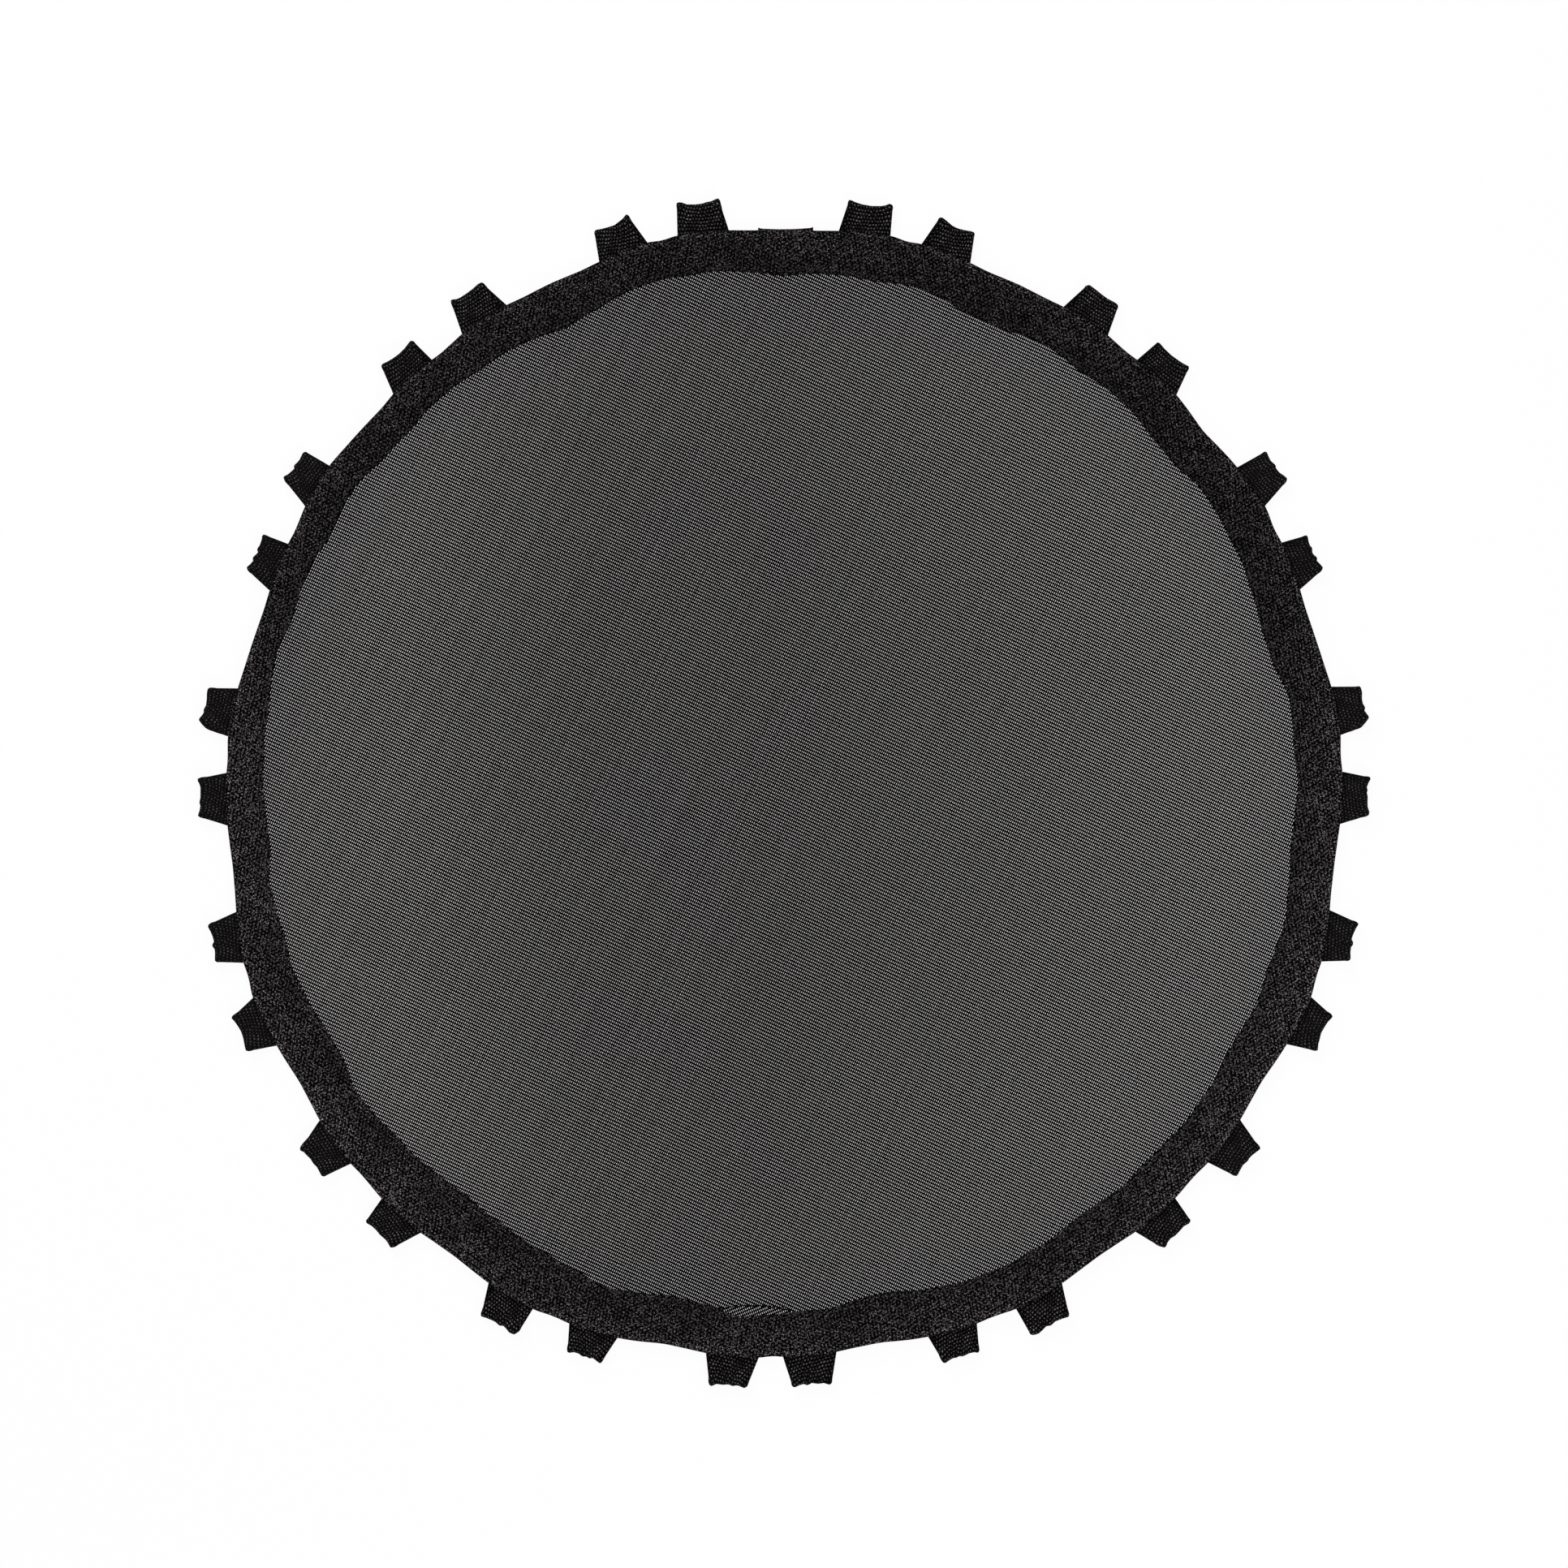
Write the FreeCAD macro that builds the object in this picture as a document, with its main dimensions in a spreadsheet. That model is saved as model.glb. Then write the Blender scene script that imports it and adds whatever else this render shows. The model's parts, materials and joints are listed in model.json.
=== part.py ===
import FreeCAD, Part
import math
import os

import Sketcher
from FreeCAD import Placement, Rotation, Vector

# The jump mat of a mini trampoline: a round sheet of open mesh cloth, a sewn border of heavy
# webbing above and below its edge, and thirty loops of folded webbing that a bungee cord laces
# through. The mat lies flat: X and Y span it, Z is up, and Z = 0 is the underside of the loops.
# From below the layers are loop tails, under band, mesh cloth, top band.

# Driving sizes, in millimetres and degrees, with what each one is.
SIZES = {
    "rim_radius": (345.4, "mean radius of the border's outer edge"),
    "rim_shift_x": (-1.2, "sideways drift of the border from the origin"),
    "rim_shift_y": (-1.3, "lengthways drift of the border from the origin"),
    "rim_oval": (2.6, "how far the border is pulled oval"),
    "rim_oval_direction": (76.0, "direction of the oval's long axis"),
    "rim_egg": (2.1, "three-sided unevenness of the border"),
    "rim_egg_direction": (-20.0, "direction of the first of its three rounds"),
    "rim_scallop": (1.0, "how far each pair of loops draws the outer edge out"),
    "band_width": (27.6, "mean width of the border webbing"),
    "band_drift_x": (-1.2, "sideways drift of the inner edge against the outer"),
    "band_drift_y": (1.8, "lengthways drift of the inner edge against the outer"),
    "band_oval": (1.5, "how far the inner edge is pulled oval"),
    "band_oval_direction": (-55.0, "direction of that oval's long axis"),
    "band_scallop": (1.6, "how far the inner edge swings out at each pair of loops"),
    "band_thickness": (1.4, "thickness of the border webbing"),
    "scallop_direction": (5.3, "direction of one crest of the scallops"),
    "mesh_thickness": (0.6, "thickness of the mesh cloth"),
    "mesh_inset": (3.0, "how far the cloth's edge stays inside the border's edge"),
    "weave_direction": (-24.5, "direction of the cloth's coarser threads"),
    "opening_side": (20.0, "side of each opening in the grid that stands for the open weave"),
    "opening_margin": (3.0, "least cloth between an opening and the border's inner edge"),
    "loop_width": (25.4, "width of the loop webbing"),
    "loop_thickness": (1.3, "thickness of the loop webbing"),
    "loop_splay": (3.0, "sideways spread of each leg at its seam"),
    "loop_eye": (4.8, "clear height of the eye that the cord passes"),
    "loop_rise": (5.0, "length over which the upper leg lifts off the lower one"),
    "tail_length": (20.0, "length of each loop's tails sewn under the border"),
    "hinge_clearance": (0.4, "gap between a loop's seam roll and the sewn tails"),
    "splice_width": (34.0, "overlap where the border's ends meet"),
    "splice_offset": (1.0, "sideways place of the overlap"),
    "splice_overhang": (1.9, "how far the overlap stands out past the border's edge"),
}

# The fifteen pairs of loops as they are sewn, clockwise from the overlap: the pair's direction,
# half the angle between its two loops, how far the first and second loop stand out, and the side
# that the upper leg leans to at its seam, 1 for counter-clockwise.
PAIRS = [
    (77.5, 4.25, 20.2, 19.4, -1),
    (52.8, 4.6, 19.4, 18.2, -1),
    (28.8, 4.6, 21.6, 17.8, -1),
    (4.0, 4.5, 19.8, 18.2, -1),
    (-19.3, 4.55, 18.6, 19.4, -1),
    (-43.5, 5.1, 20.2, 19.8, -1),
    (-67.9, 4.75, 21.6, 19.6, 1),
    (-91.3, 3.95, 18.6, 19.6, 1),
    (-114.0, 4.45, 19.4, 21.0, 1),
    (-137.2, 4.9, 19.2, 19.4, 1),
    (-160.7, 4.5, 19.6, 18.0, 1),
    (-183.8, 4.4, 18.4, 19.8, 1),
    (-208.8, 4.65, 17.6, 20.4, 1),
    (-233.0, 4.65, 18.0, 19.4, 1),
    (-257.5, 4.2, 20.6, 20.4, 1),
]

RIM_POINTS_PER_PAIR = 6
OPENINGS_ACROSS = 12
DIRECTION_STEP = 0.5
SPLICE_DIRECTION = 90.0
# Flat facets that stand for a quarter turn of webbing, at the fold and at the seam roll.
FOLD_FACETS = 5
ROLL_FACETS = 3

doc = FreeCAD.newDocument("jump_mat")
sheet = doc.addObject("Spreadsheet::Sheet", "Sizes")
for row, (alias, (value, meaning)) in enumerate(SIZES.items(), start=1):
    sheet.set("A%d" % row, meaning)
    sheet.set("B%d" % row, str(value))
    sheet.setAlias("B%d" % row, alias)
doc.recompute()


def size(alias):
    """A driving size, read back from the sheet."""
    return float(sheet.get(alias))


# Heights of the layers, from the floor up.
tail_top = 2 * size("loop_thickness")
mesh_bottom = tail_top + size("band_thickness")
mesh_top = mesh_bottom + size("mesh_thickness")


def wave(amplitude, count, direction, crest):
    """Radius added at a direction by a wave with that many crests round the rim."""
    return amplitude * math.cos(math.radians(count * (direction - crest)))


def outer_radius(direction):
    """Distance from the origin to the border's outer edge."""
    turn = math.radians(direction)
    return (
        size("rim_radius")
        + size("rim_shift_x") * math.cos(turn)
        + size("rim_shift_y") * math.sin(turn)
        + wave(size("rim_oval"), 2, direction, size("rim_oval_direction"))
        + wave(size("rim_egg"), 3, direction, size("rim_egg_direction"))
        + wave(size("rim_scallop"), len(PAIRS), direction, size("scallop_direction"))
    )


def inner_radius(direction):
    """Distance from the origin to the border's inner edge."""
    turn = math.radians(direction)
    return (
        size("rim_radius")
        - size("band_width")
        + (size("rim_shift_x") + size("band_drift_x")) * math.cos(turn)
        + (size("rim_shift_y") + size("band_drift_y")) * math.sin(turn)
        + wave(size("band_oval"), 2, direction, size("band_oval_direction"))
        + wave(size("band_scallop"), len(PAIRS), direction, size("scallop_direction"))
    )


def cloth_radius(direction):
    """Distance from the origin to the mesh cloth's edge, inside the border."""
    return outer_radius(direction) - size("mesh_inset")


def polar(radius, direction):
    turn = math.radians(direction)
    return Vector(radius * math.cos(turn), radius * math.sin(turn), 0)


def closed_outline(radius_at):
    """A closed smooth curve through evenly turned points of a radius function."""
    count = RIM_POINTS_PER_PAIR * len(PAIRS)
    points = [polar(radius_at(360.0 * k / count), 360.0 * k / count) for k in range(count)]
    curve = Part.BSplineCurve()
    curve.interpolate(points, PeriodicFlag=True)
    return curve


def origin_plane(body, role):
    """The body's own origin plane with that role, such as XY_Plane."""
    for feature in body.Origin.OriginFeatures:
        if feature.Role == role:
            return feature
    raise RuntimeError("no plane " + role)


def flat_layer(name, outlines, thickness_alias, bottom):
    """A flat sewn layer: closed outlines in one sketch, padded to the layer's thickness."""
    body = doc.addObject("PartDesign::Body", name)
    body.Label = name
    sketch = body.newObject("Sketcher::SketchObject", name + "_outline")
    sketch.AttachmentSupport = (origin_plane(body, "XY_Plane"), [""])
    sketch.MapMode = "FlatFace"
    for radius_at in outlines:
        sketch.addGeometry(closed_outline(radius_at), False)
    pad = body.newObject("PartDesign::Pad", name + "_pad")
    pad.Profile = sketch
    pad.setExpression("Length", "Sizes." + thickness_alias)
    body.Placement = Placement(Vector(0, 0, bottom), Rotation())
    sketch.Visibility = False
    return body


def opening_corners():
    """The four corners of each opening, in a plain grid laid along the cloth's threads. The
    openings stay clear of the border."""
    pitch = 2 * (size("rim_radius") - size("band_width")) / OPENINGS_ACROSS
    half = size("opening_side") / 2
    threads = Rotation(Vector(0, 0, 1), size("weave_direction"))
    middle = (OPENINGS_ACROSS - 1) / 2
    openings = []
    for row in range(OPENINGS_ACROSS):
        for column in range(OPENINGS_ACROSS):
            centre = Vector((column - middle) * pitch, (row - middle) * pitch, 0)
            corners = []
            for x, y in ((-half, -half), (half, -half), (half, half), (-half, half)):
                corners.append(threads.multVec(centre + Vector(x, y, 0)))
            clear = True
            for corner in corners:
                direction = math.degrees(math.atan2(corner.y, corner.x))
                if corner.Length > inner_radius(direction) - size("opening_margin"):
                    clear = False
            if clear:
                openings.append(corners)
    return openings


def open_weave(body):
    """Cuts the grid of openings through the cloth."""
    sketch = body.newObject("Sketcher::SketchObject", "open_weave_outline")
    sketch.AttachmentSupport = (origin_plane(body, "XY_Plane"), [""])
    sketch.MapMode = "FlatFace"
    sides = []
    for corners in opening_corners():
        for k, corner in enumerate(corners):
            sides.append(Part.LineSegment(corner, corners[(k + 1) % len(corners)]))
    sketch.addGeometry(sides, False)
    pocket = body.newObject("PartDesign::Pocket", "open_weave")
    pocket.Profile = sketch
    pocket.Type = "ThroughAll"
    pocket.Reversed = True
    sketch.Visibility = False


# %% The mesh cloth and the two border bands

mesh_sheet = flat_layer("mesh_sheet", [cloth_radius], "mesh_thickness", mesh_bottom)
open_weave(mesh_sheet)
rim_band_under = flat_layer("rim_band_under", [outer_radius, inner_radius], "band_thickness", tail_top)
rim_band_top = flat_layer("rim_band_top", [outer_radius, inner_radius], "band_thickness", mesh_top)


# %% The overlap where the border's two ends meet, tacked under the border


def splice_patch():
    """A rectangle of border webbing, from the inner edge to a little past the outer edge."""
    body = doc.addObject("PartDesign::Body", "band_splice")
    body.Label = "band_splice"
    sketch = body.newObject("Sketcher::SketchObject", "band_splice_outline")
    sketch.AttachmentSupport = (origin_plane(body, "XY_Plane"), [""])
    sketch.MapMode = "FlatFace"
    half = size("splice_width") / 2
    depth = size("band_width") + size("splice_overhang")
    corners = [Vector(-half, 0, 0), Vector(half, 0, 0), Vector(half, -depth, 0), Vector(-half, -depth, 0)]
    for k, corner in enumerate(corners):
        sketch.addGeometry(Part.LineSegment(corner, corners[(k + 1) % len(corners)]), False)
    for k in range(len(corners)):
        sketch.addConstraint(Sketcher.Constraint("Coincident", k, 2, (k + 1) % len(corners), 1))
    sketch.addConstraint(Sketcher.Constraint("Vertical", 1))
    sketch.addConstraint(Sketcher.Constraint("Horizontal", 2))
    sketch.addConstraint(Sketcher.Constraint("Vertical", 3))
    sketch.addConstraint(Sketcher.Constraint("Symmetric", 0, 1, 0, 2, -2))
    sketch.addConstraint(Sketcher.Constraint("PointOnObject", 0, 1, -1))
    width = sketch.addConstraint(Sketcher.Constraint("Distance", 0, size("splice_width")))
    length = sketch.addConstraint(Sketcher.Constraint("Distance", 1, depth))
    sketch.renameConstraint(width, "width")
    sketch.renameConstraint(length, "length")
    sketch.setExpression("Constraints.width", "Sizes.splice_width")
    sketch.setExpression("Constraints.length", "Sizes.band_width + Sizes.splice_overhang")
    pad = body.newObject("PartDesign::Pad", "band_splice_pad")
    pad.Profile = sketch
    pad.setExpression("Length", "Sizes.band_thickness")
    outer_edge = outer_radius(SPLICE_DIRECTION) + size("splice_overhang")
    bottom = tail_top - size("band_thickness")
    body.Placement = Placement(Vector(size("splice_offset"), outer_edge, bottom), Rotation())
    sketch.Visibility = False
    return body


# %% The webbing loops


class LoopSeat:
    """Where one loop is sewn: its hinge line lies just outside the border's edge."""

    def __init__(self, direction, reach, lean):
        edge = polar(outer_radius(direction), direction)
        ahead = polar(outer_radius(direction + DIRECTION_STEP), direction + DIRECTION_STEP)
        behind = polar(outer_radius(direction - DIRECTION_STEP), direction - DIRECTION_STEP)
        along = ahead - behind
        along.normalize()
        outward = Vector(along.y, -along.x, 0)
        standoff = size("loop_thickness") + size("hinge_clearance")
        self.hinge = edge + outward * standoff
        self.turn = math.degrees(math.atan2(outward.y, outward.x))
        self.length = reach - standoff
        self.lean = lean

    def placement(self):
        return Placement(self.hinge, Rotation(Vector(0, 0, 1), self.turn))


def loop_seats():
    """The thirty seats in order, clockwise from the overlap."""
    seats = []
    for direction, half_gap, first_reach, second_reach, lean in PAIRS:
        seats.append(LoopSeat(direction + half_gap, first_reach, lean))
        seats.append(LoopSeat(direction - half_gap, second_reach, lean))
    return seats


def profile_solid(points, half_width):
    """A closed side profile in X and Z, drawn out to both sides."""
    corners = [Vector(x, -half_width, z) for x, z in points]
    face = Part.Face(Part.makePolygon(corners + corners[:1]))
    return face.extrude(Vector(0, 2 * half_width, 0))


def bend(centre, radius, start_turn, end_turn, facets):
    """Points round a bend in X and Z, turns in degrees from +X towards +Z."""
    points = []
    for k in range(facets + 1):
        turn = math.radians(start_turn + (end_turn - start_turn) * k / facets)
        points.append((centre[0] + radius * math.cos(turn), centre[1] + radius * math.sin(turn)))
    return points


def leg_outline(length, side):
    """The straight strip that one leg covers from above: it leans to one side at its seam."""
    half_width = size("loop_width") / 2
    root = -2 * size("loop_thickness")
    tip = length + size("loop_thickness")
    height = 2 * size("loop_thickness") + size("loop_eye")
    corners = []
    for x, edge in ((root, -1), (tip, -1), (tip, 1), (root, 1)):
        lean = side * size("loop_splay") * (1 - x / length)
        corners.append(Vector(x, lean + edge * half_width, 0))
    face = Part.Face(Part.makePolygon(corners + corners[:1]))
    return face.extrude(Vector(0, 0, height))


def folded_loop(length, lean):
    """One strip of webbing folded back on itself. Its two legs are sewn together at the root,
    where they are rounded about the hinge line and lean to opposite sides, and they stand apart
    at the fold to leave an eye."""
    thick = size("loop_thickness")
    eye = size("loop_eye")
    inner_fold = eye / 2
    outer_fold = inner_fold + thick
    fold = (length - outer_fold, thick + inner_fold)
    root_end = thick
    rise_end = root_end + size("loop_rise")
    # The sloping stretch keeps the webbing's thickness, so its outer corners shift back.
    slope = math.atan2(eye, rise_end - root_end)
    shift = thick * math.tan(slope / 2)
    hinge = (0, thick)

    lower = bend(hinge, thick, 180, 270, ROLL_FACETS)
    lower += bend(fold, outer_fold, -90, 0, FOLD_FACETS)
    lower += bend(fold, inner_fold, 0, -90, FOLD_FACETS)

    upper = [(root_end, thick), (rise_end, thick + eye)]
    upper += bend(fold, inner_fold, 90, 0, FOLD_FACETS)
    upper += bend(fold, outer_fold, 0, 90, FOLD_FACETS)
    upper += [(rise_end - shift, 2 * thick + eye), (root_end - shift, 2 * thick)]
    upper += bend(hinge, thick, 90, 180, ROLL_FACETS)

    half_width = size("loop_width") / 2 + 2 * size("loop_splay")
    lower_leg = profile_solid(lower, half_width).common(leg_outline(length, -lean))
    upper_leg = profile_solid(upper, half_width).common(leg_outline(length, lean))
    return lower_leg.fuse(upper_leg).removeSplitter().Solids[0]


def webbing_loop(number, seat):
    name = "webbing_loop_%02d" % number
    loop = doc.addObject("Part::Feature", name)
    loop.Label = name
    loop.Shape = folded_loop(seat.length, seat.lean)
    loop.Placement = seat.placement()
    return loop


# %% The sewn tails: both ends of each loop's strip, flat under the border


def tail_boxes(number, seat):
    """The two sewn ends of one strip, the lower leg's below the upper leg's."""
    boxes = []
    for layer, side in enumerate((-seat.lean, seat.lean)):
        box = doc.addObject("Part::Box", "tail_%02d_%s" % (number, ("lower", "upper")[layer]))
        box.setExpression("Length", "Sizes.tail_length")
        box.setExpression("Width", "Sizes.loop_width")
        box.setExpression("Height", "Sizes.loop_thickness")
        standoff = size("loop_thickness") + size("hinge_clearance")
        corner = Vector(
            -standoff - size("tail_length"),
            side * size("loop_splay") - size("loop_width") / 2,
            layer * size("loop_thickness"),
        )
        box.Placement = seat.placement().multiply(Placement(corner, Rotation()))
        boxes.append(box)
    return boxes


seats = loop_seats()
band_splice = splice_patch()
loops = [webbing_loop(number, seat) for number, seat in enumerate(seats, start=1)]
loop_tails = doc.addObject("Part::Compound", "loop_tails")
loop_tails.Label = "loop_tails"
loop_tails.Links = [box for number, seat in enumerate(seats, start=1) for box in tail_boxes(number, seat)]


# %% Recompute, check and write each sub-part

doc.recompute()
for item in doc.Objects:
    for state in item.State:
        if state in ("Invalid", "Error"):
            raise RuntimeError("%s is %s" % (item.Label, state))

sub_parts = [mesh_sheet, rim_band_top, rim_band_under, band_splice, loop_tails] + loops
os.makedirs("parts", exist_ok=True)
for item in sub_parts:
    shape = item.Shape
    if shape.isNull() or not shape.isValid() or not shape.Solids:
        raise RuntimeError(item.Label + " has no valid solid")
    shape.exportStep("parts/%s.step" % item.Label)

reach = Part.makeCompound([item.Shape for item in sub_parts]).BoundBox
print("sub-parts", len(sub_parts))
print("X %.1f to %.1f, Y %.1f to %.1f, height %.1f" % (reach.XMin, reach.XMax, reach.YMin, reach.YMax, reach.ZMax))
for number, seat in enumerate(seats, start=1):
    print("loop %02d hinge %.3f %.3f turn %.2f length %.2f" % (number, seat.hinge.x, seat.hinge.y, seat.turn, seat.length))
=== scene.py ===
# %% [markdown]
# # The jump mat of a small trampoline
# The mat is a disc of open woven cloth. Two rings of webbing are sewn round its edge, one above and one
# below, and thirty short loops of the same webbing stand out from between mat and floor, where an elastic
# cord would pass through them. The packed model fixes every place: the two edges of the border and the
# hinge line of each loop. Each soft solid of that model is then replaced by a piece that looks like cloth.
# Everything is in metres, so a length in millimetres is multiplied by `MM`.

# %% Load the packed model
import json
import math

import bmesh
import bpy
import numpy as np
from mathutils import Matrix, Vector


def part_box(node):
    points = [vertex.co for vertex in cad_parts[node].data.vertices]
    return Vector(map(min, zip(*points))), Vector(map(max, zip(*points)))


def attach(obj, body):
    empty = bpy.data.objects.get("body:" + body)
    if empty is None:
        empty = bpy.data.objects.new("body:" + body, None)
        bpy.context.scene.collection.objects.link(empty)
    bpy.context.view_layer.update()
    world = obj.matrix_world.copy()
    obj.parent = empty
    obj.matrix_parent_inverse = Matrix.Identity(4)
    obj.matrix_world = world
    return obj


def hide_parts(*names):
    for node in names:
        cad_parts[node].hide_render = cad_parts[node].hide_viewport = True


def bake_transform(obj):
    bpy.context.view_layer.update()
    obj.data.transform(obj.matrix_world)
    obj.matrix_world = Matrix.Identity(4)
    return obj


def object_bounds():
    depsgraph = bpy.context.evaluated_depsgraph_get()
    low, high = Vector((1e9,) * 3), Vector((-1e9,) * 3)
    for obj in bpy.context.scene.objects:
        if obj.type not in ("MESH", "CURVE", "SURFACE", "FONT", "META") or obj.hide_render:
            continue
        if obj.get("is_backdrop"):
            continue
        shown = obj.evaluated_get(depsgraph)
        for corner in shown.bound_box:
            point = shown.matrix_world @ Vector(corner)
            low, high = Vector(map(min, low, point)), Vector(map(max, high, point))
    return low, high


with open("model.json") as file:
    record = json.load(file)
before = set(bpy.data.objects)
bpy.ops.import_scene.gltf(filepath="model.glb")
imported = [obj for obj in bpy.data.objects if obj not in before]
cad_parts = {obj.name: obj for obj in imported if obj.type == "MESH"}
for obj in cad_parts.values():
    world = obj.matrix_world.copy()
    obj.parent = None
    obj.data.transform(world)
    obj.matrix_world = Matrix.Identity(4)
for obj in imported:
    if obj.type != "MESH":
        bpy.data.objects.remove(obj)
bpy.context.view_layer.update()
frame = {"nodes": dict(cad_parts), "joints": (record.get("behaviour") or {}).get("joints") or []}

MM = 0.001


def put(name, data):
    """Adds an object with this data to the scene."""
    thing = bpy.data.objects.new(name, data)
    bpy.context.scene.collection.objects.link(thing)
    return thing


# %% [markdown]
# ## Camera
# The mat lies flat and is seen from straight above, with the overlap of the border at the top.
# An orthographic camera would do, but a long lens from three metres looks the same on something this
# flat and also behaves well from other sides, so it is used here.

# %% The camera
VIEW_WIDTH = 966 * MM
VIEW_HEIGHT_SHIFT = 5.5 * MM
CAMERA_DISTANCE = 3.0

camera = put("camera", bpy.data.cameras.new("camera"))
bpy.context.scene.camera = camera
camera.location = (0, VIEW_HEIGHT_SHIFT, CAMERA_DISTANCE)
camera.data.sensor_width = 36
camera.data.lens = camera.data.sensor_width * CAMERA_DISTANCE / VIEW_WIDTH
camera.data.clip_end = 100
print("lens", round(camera.data.lens, 1), "mm")

# %% [markdown]
# ## A short way to write nodes
# Materials and Geometry Nodes are both trees of nodes. This helper adds a node, sets its options, and
# gives its inputs in order or by name: a socket is linked, and a number is written on the input itself.
# A node by itself stands for its first output.

# %% A helper for node trees
class Nodes:
    """Adds nodes to one tree, so that a recipe reads from top to bottom."""

    def __init__(self, tree):
        self.tree = tree

    def add(self, kind, *values, named=None, **settings):
        node = self.tree.nodes.new(kind)
        for name, value in settings.items():
            setattr(node, name, value)
        self.give(node, {**dict(enumerate(values)), **(named or {})})
        return node

    def give(self, node, values):
        for place, value in values.items():
            if isinstance(value, bpy.types.Node):
                value = value.outputs[0]
            if isinstance(value, bpy.types.NodeSocket):
                self.tree.links.new(value, node.inputs[place])
            elif value is not None:
                node.inputs[place].default_value = value

    def math(self, operation, a, b=None, c=None):
        return self.add("ShaderNodeMath", a, b, c, operation=operation)

    def times(self, a, b):
        return self.math("MULTIPLY", a, b)

    def plus(self, a, b):
        return self.math("ADD", a, b)

    def minus(self, a, b):
        return self.math("SUBTRACT", a, b)

    def vector(self, operation, a, b):
        return self.add("ShaderNodeVectorMath", a, b, operation=operation)

    def turn(self, vector, angle):
        return self.add("ShaderNodeVectorRotate", vector, rotation_type="Z_AXIS", named={"Angle": angle})

    def length(self, vector):
        return self.add("ShaderNodeVectorMath", vector, operation="LENGTH").outputs["Value"]

    def between(self, value, low, high, to_low=0.0, to_high=1.0, soft=True):
        """Turns the range low to high into another one, and holds it at its ends."""
        kind = "SMOOTHSTEP" if soft else "LINEAR"
        return self.add("ShaderNodeMapRange", value, low, high, to_low, to_high, interpolation_type=kind)

    def chance(self, low, high, seed):
        """A random number between low and high, for each point by itself."""
        return self.add("FunctionNodeRandomValue", None, None, low, high, data_type="FLOAT",
                        named={"Seed": seed}).outputs[1]

    def join(self, x, y=0.0, z=0.0):
        return self.add("ShaderNodeCombineXYZ", x, y, z)

    def parts(self, vector):
        return self.add("ShaderNodeSeparateXYZ", vector).outputs

    def black_dye(self, value, red_share=1.12, blue_share=1.03):
        """A near-black that leans to brown, as black polypropylene does: a little more red than blue."""
        red = self.times(value, red_share)
        blue = self.times(value, blue_share)
        return self.add("ShaderNodeCombineColor", red, value, blue)

    def noise(self, place, scale, detail=2.0, roughness=0.5):
        return self.add("ShaderNodeTexNoise", place, None, scale, detail, roughness)


print("the helper can", [name for name in vars(Nodes) if name[0] != "_"])

# %% [markdown]
# ## Floor and light
# The floor is plain white. What the camera sees of it is mostly its own glow at a strength of 1, which is
# white, with a share of ordinary matt paint that keeps the mat's soft shadow. The light comes from a pale
# sky all round and two wide lamps, and together they are as strong as will render a colour as written.

# %% The floor
FLOOR_HALF = 8.0
FLOOR_DROP = 0.3 * MM
GLOW_SHARE = 0.94


def seen_as_white(n):
    """One for the rays of the camera, of a reflection and of clear glass; zero for the light on the mat."""
    ray = n.add("ShaderNodeLightPath").outputs
    seen = n.math("MAXIMUM", ray["Is Camera Ray"], ray["Is Glossy Ray"])
    return n.math("MAXIMUM", seen, ray["Is Transmission Ray"])


floor_mesh = bpy.data.meshes.new("floor")
corners = [(x * FLOOR_HALF, y * FLOOR_HALF, -FLOOR_DROP) for x, y in ((-1, -1), (1, -1), (1, 1), (-1, 1))]
floor_mesh.from_pydata(corners, [], [(0, 1, 2, 3)])
floor = put("floor", floor_mesh)
floor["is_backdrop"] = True

floor_paint = bpy.data.materials.new("floor paint")
floor_paint.use_nodes = True
floor_paint.node_tree.nodes.clear()
n = Nodes(floor_paint.node_tree)
matt = n.add("ShaderNodeBsdfDiffuse", (0.94, 0.94, 0.94, 1))
glow = n.add("ShaderNodeEmission", (1, 1, 1, 1), 1.0)
paint = n.add("ShaderNodeMixShader", n.times(seen_as_white(n), GLOW_SHARE), matt, glow)
clear = n.add("ShaderNodeBsdfTransparent")
under = n.add("ShaderNodeNewGeometry").outputs["Backfacing"]
paint = n.add("ShaderNodeMixShader", under, paint, clear)
n.add("ShaderNodeOutputMaterial", paint)
floor_mesh.materials.append(floor_paint)
print("floor", 2 * FLOOR_HALF, "m wide, glow share", GLOW_SHARE)

# %% The sky and the lamps
SKY_STRENGTH = 0.55

world = bpy.data.worlds.new("studio")
bpy.context.scene.world = world
world.use_nodes = True
world.node_tree.nodes.clear()
n = Nodes(world.node_tree)
strength = n.between(seen_as_white(n), 0.0, 1.0, SKY_STRENGTH, 1.0, soft=False)
sky = n.add("ShaderNodeBackground", (1, 1, 1, 1), strength)
n.add("ShaderNodeOutputWorld", sky)


def lamp(name, place, size, power):
    """A wide soft lamp that points at the middle of the mat."""
    data = bpy.data.lights.new(name, "AREA")
    data.size = size
    data.energy = power
    light = put(name, data)
    light.location = place
    light.rotation_euler = Vector(place).to_track_quat("Z", "Y").to_euler()


lamp("lamp behind", (-0.9, 1.9, 1.5), 1.2, 30)
lamp("lamp in front", (1.1, -1.9, 1.6), 1.2, 24)
bpy.context.scene.view_settings.view_transform = "Standard"
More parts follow.
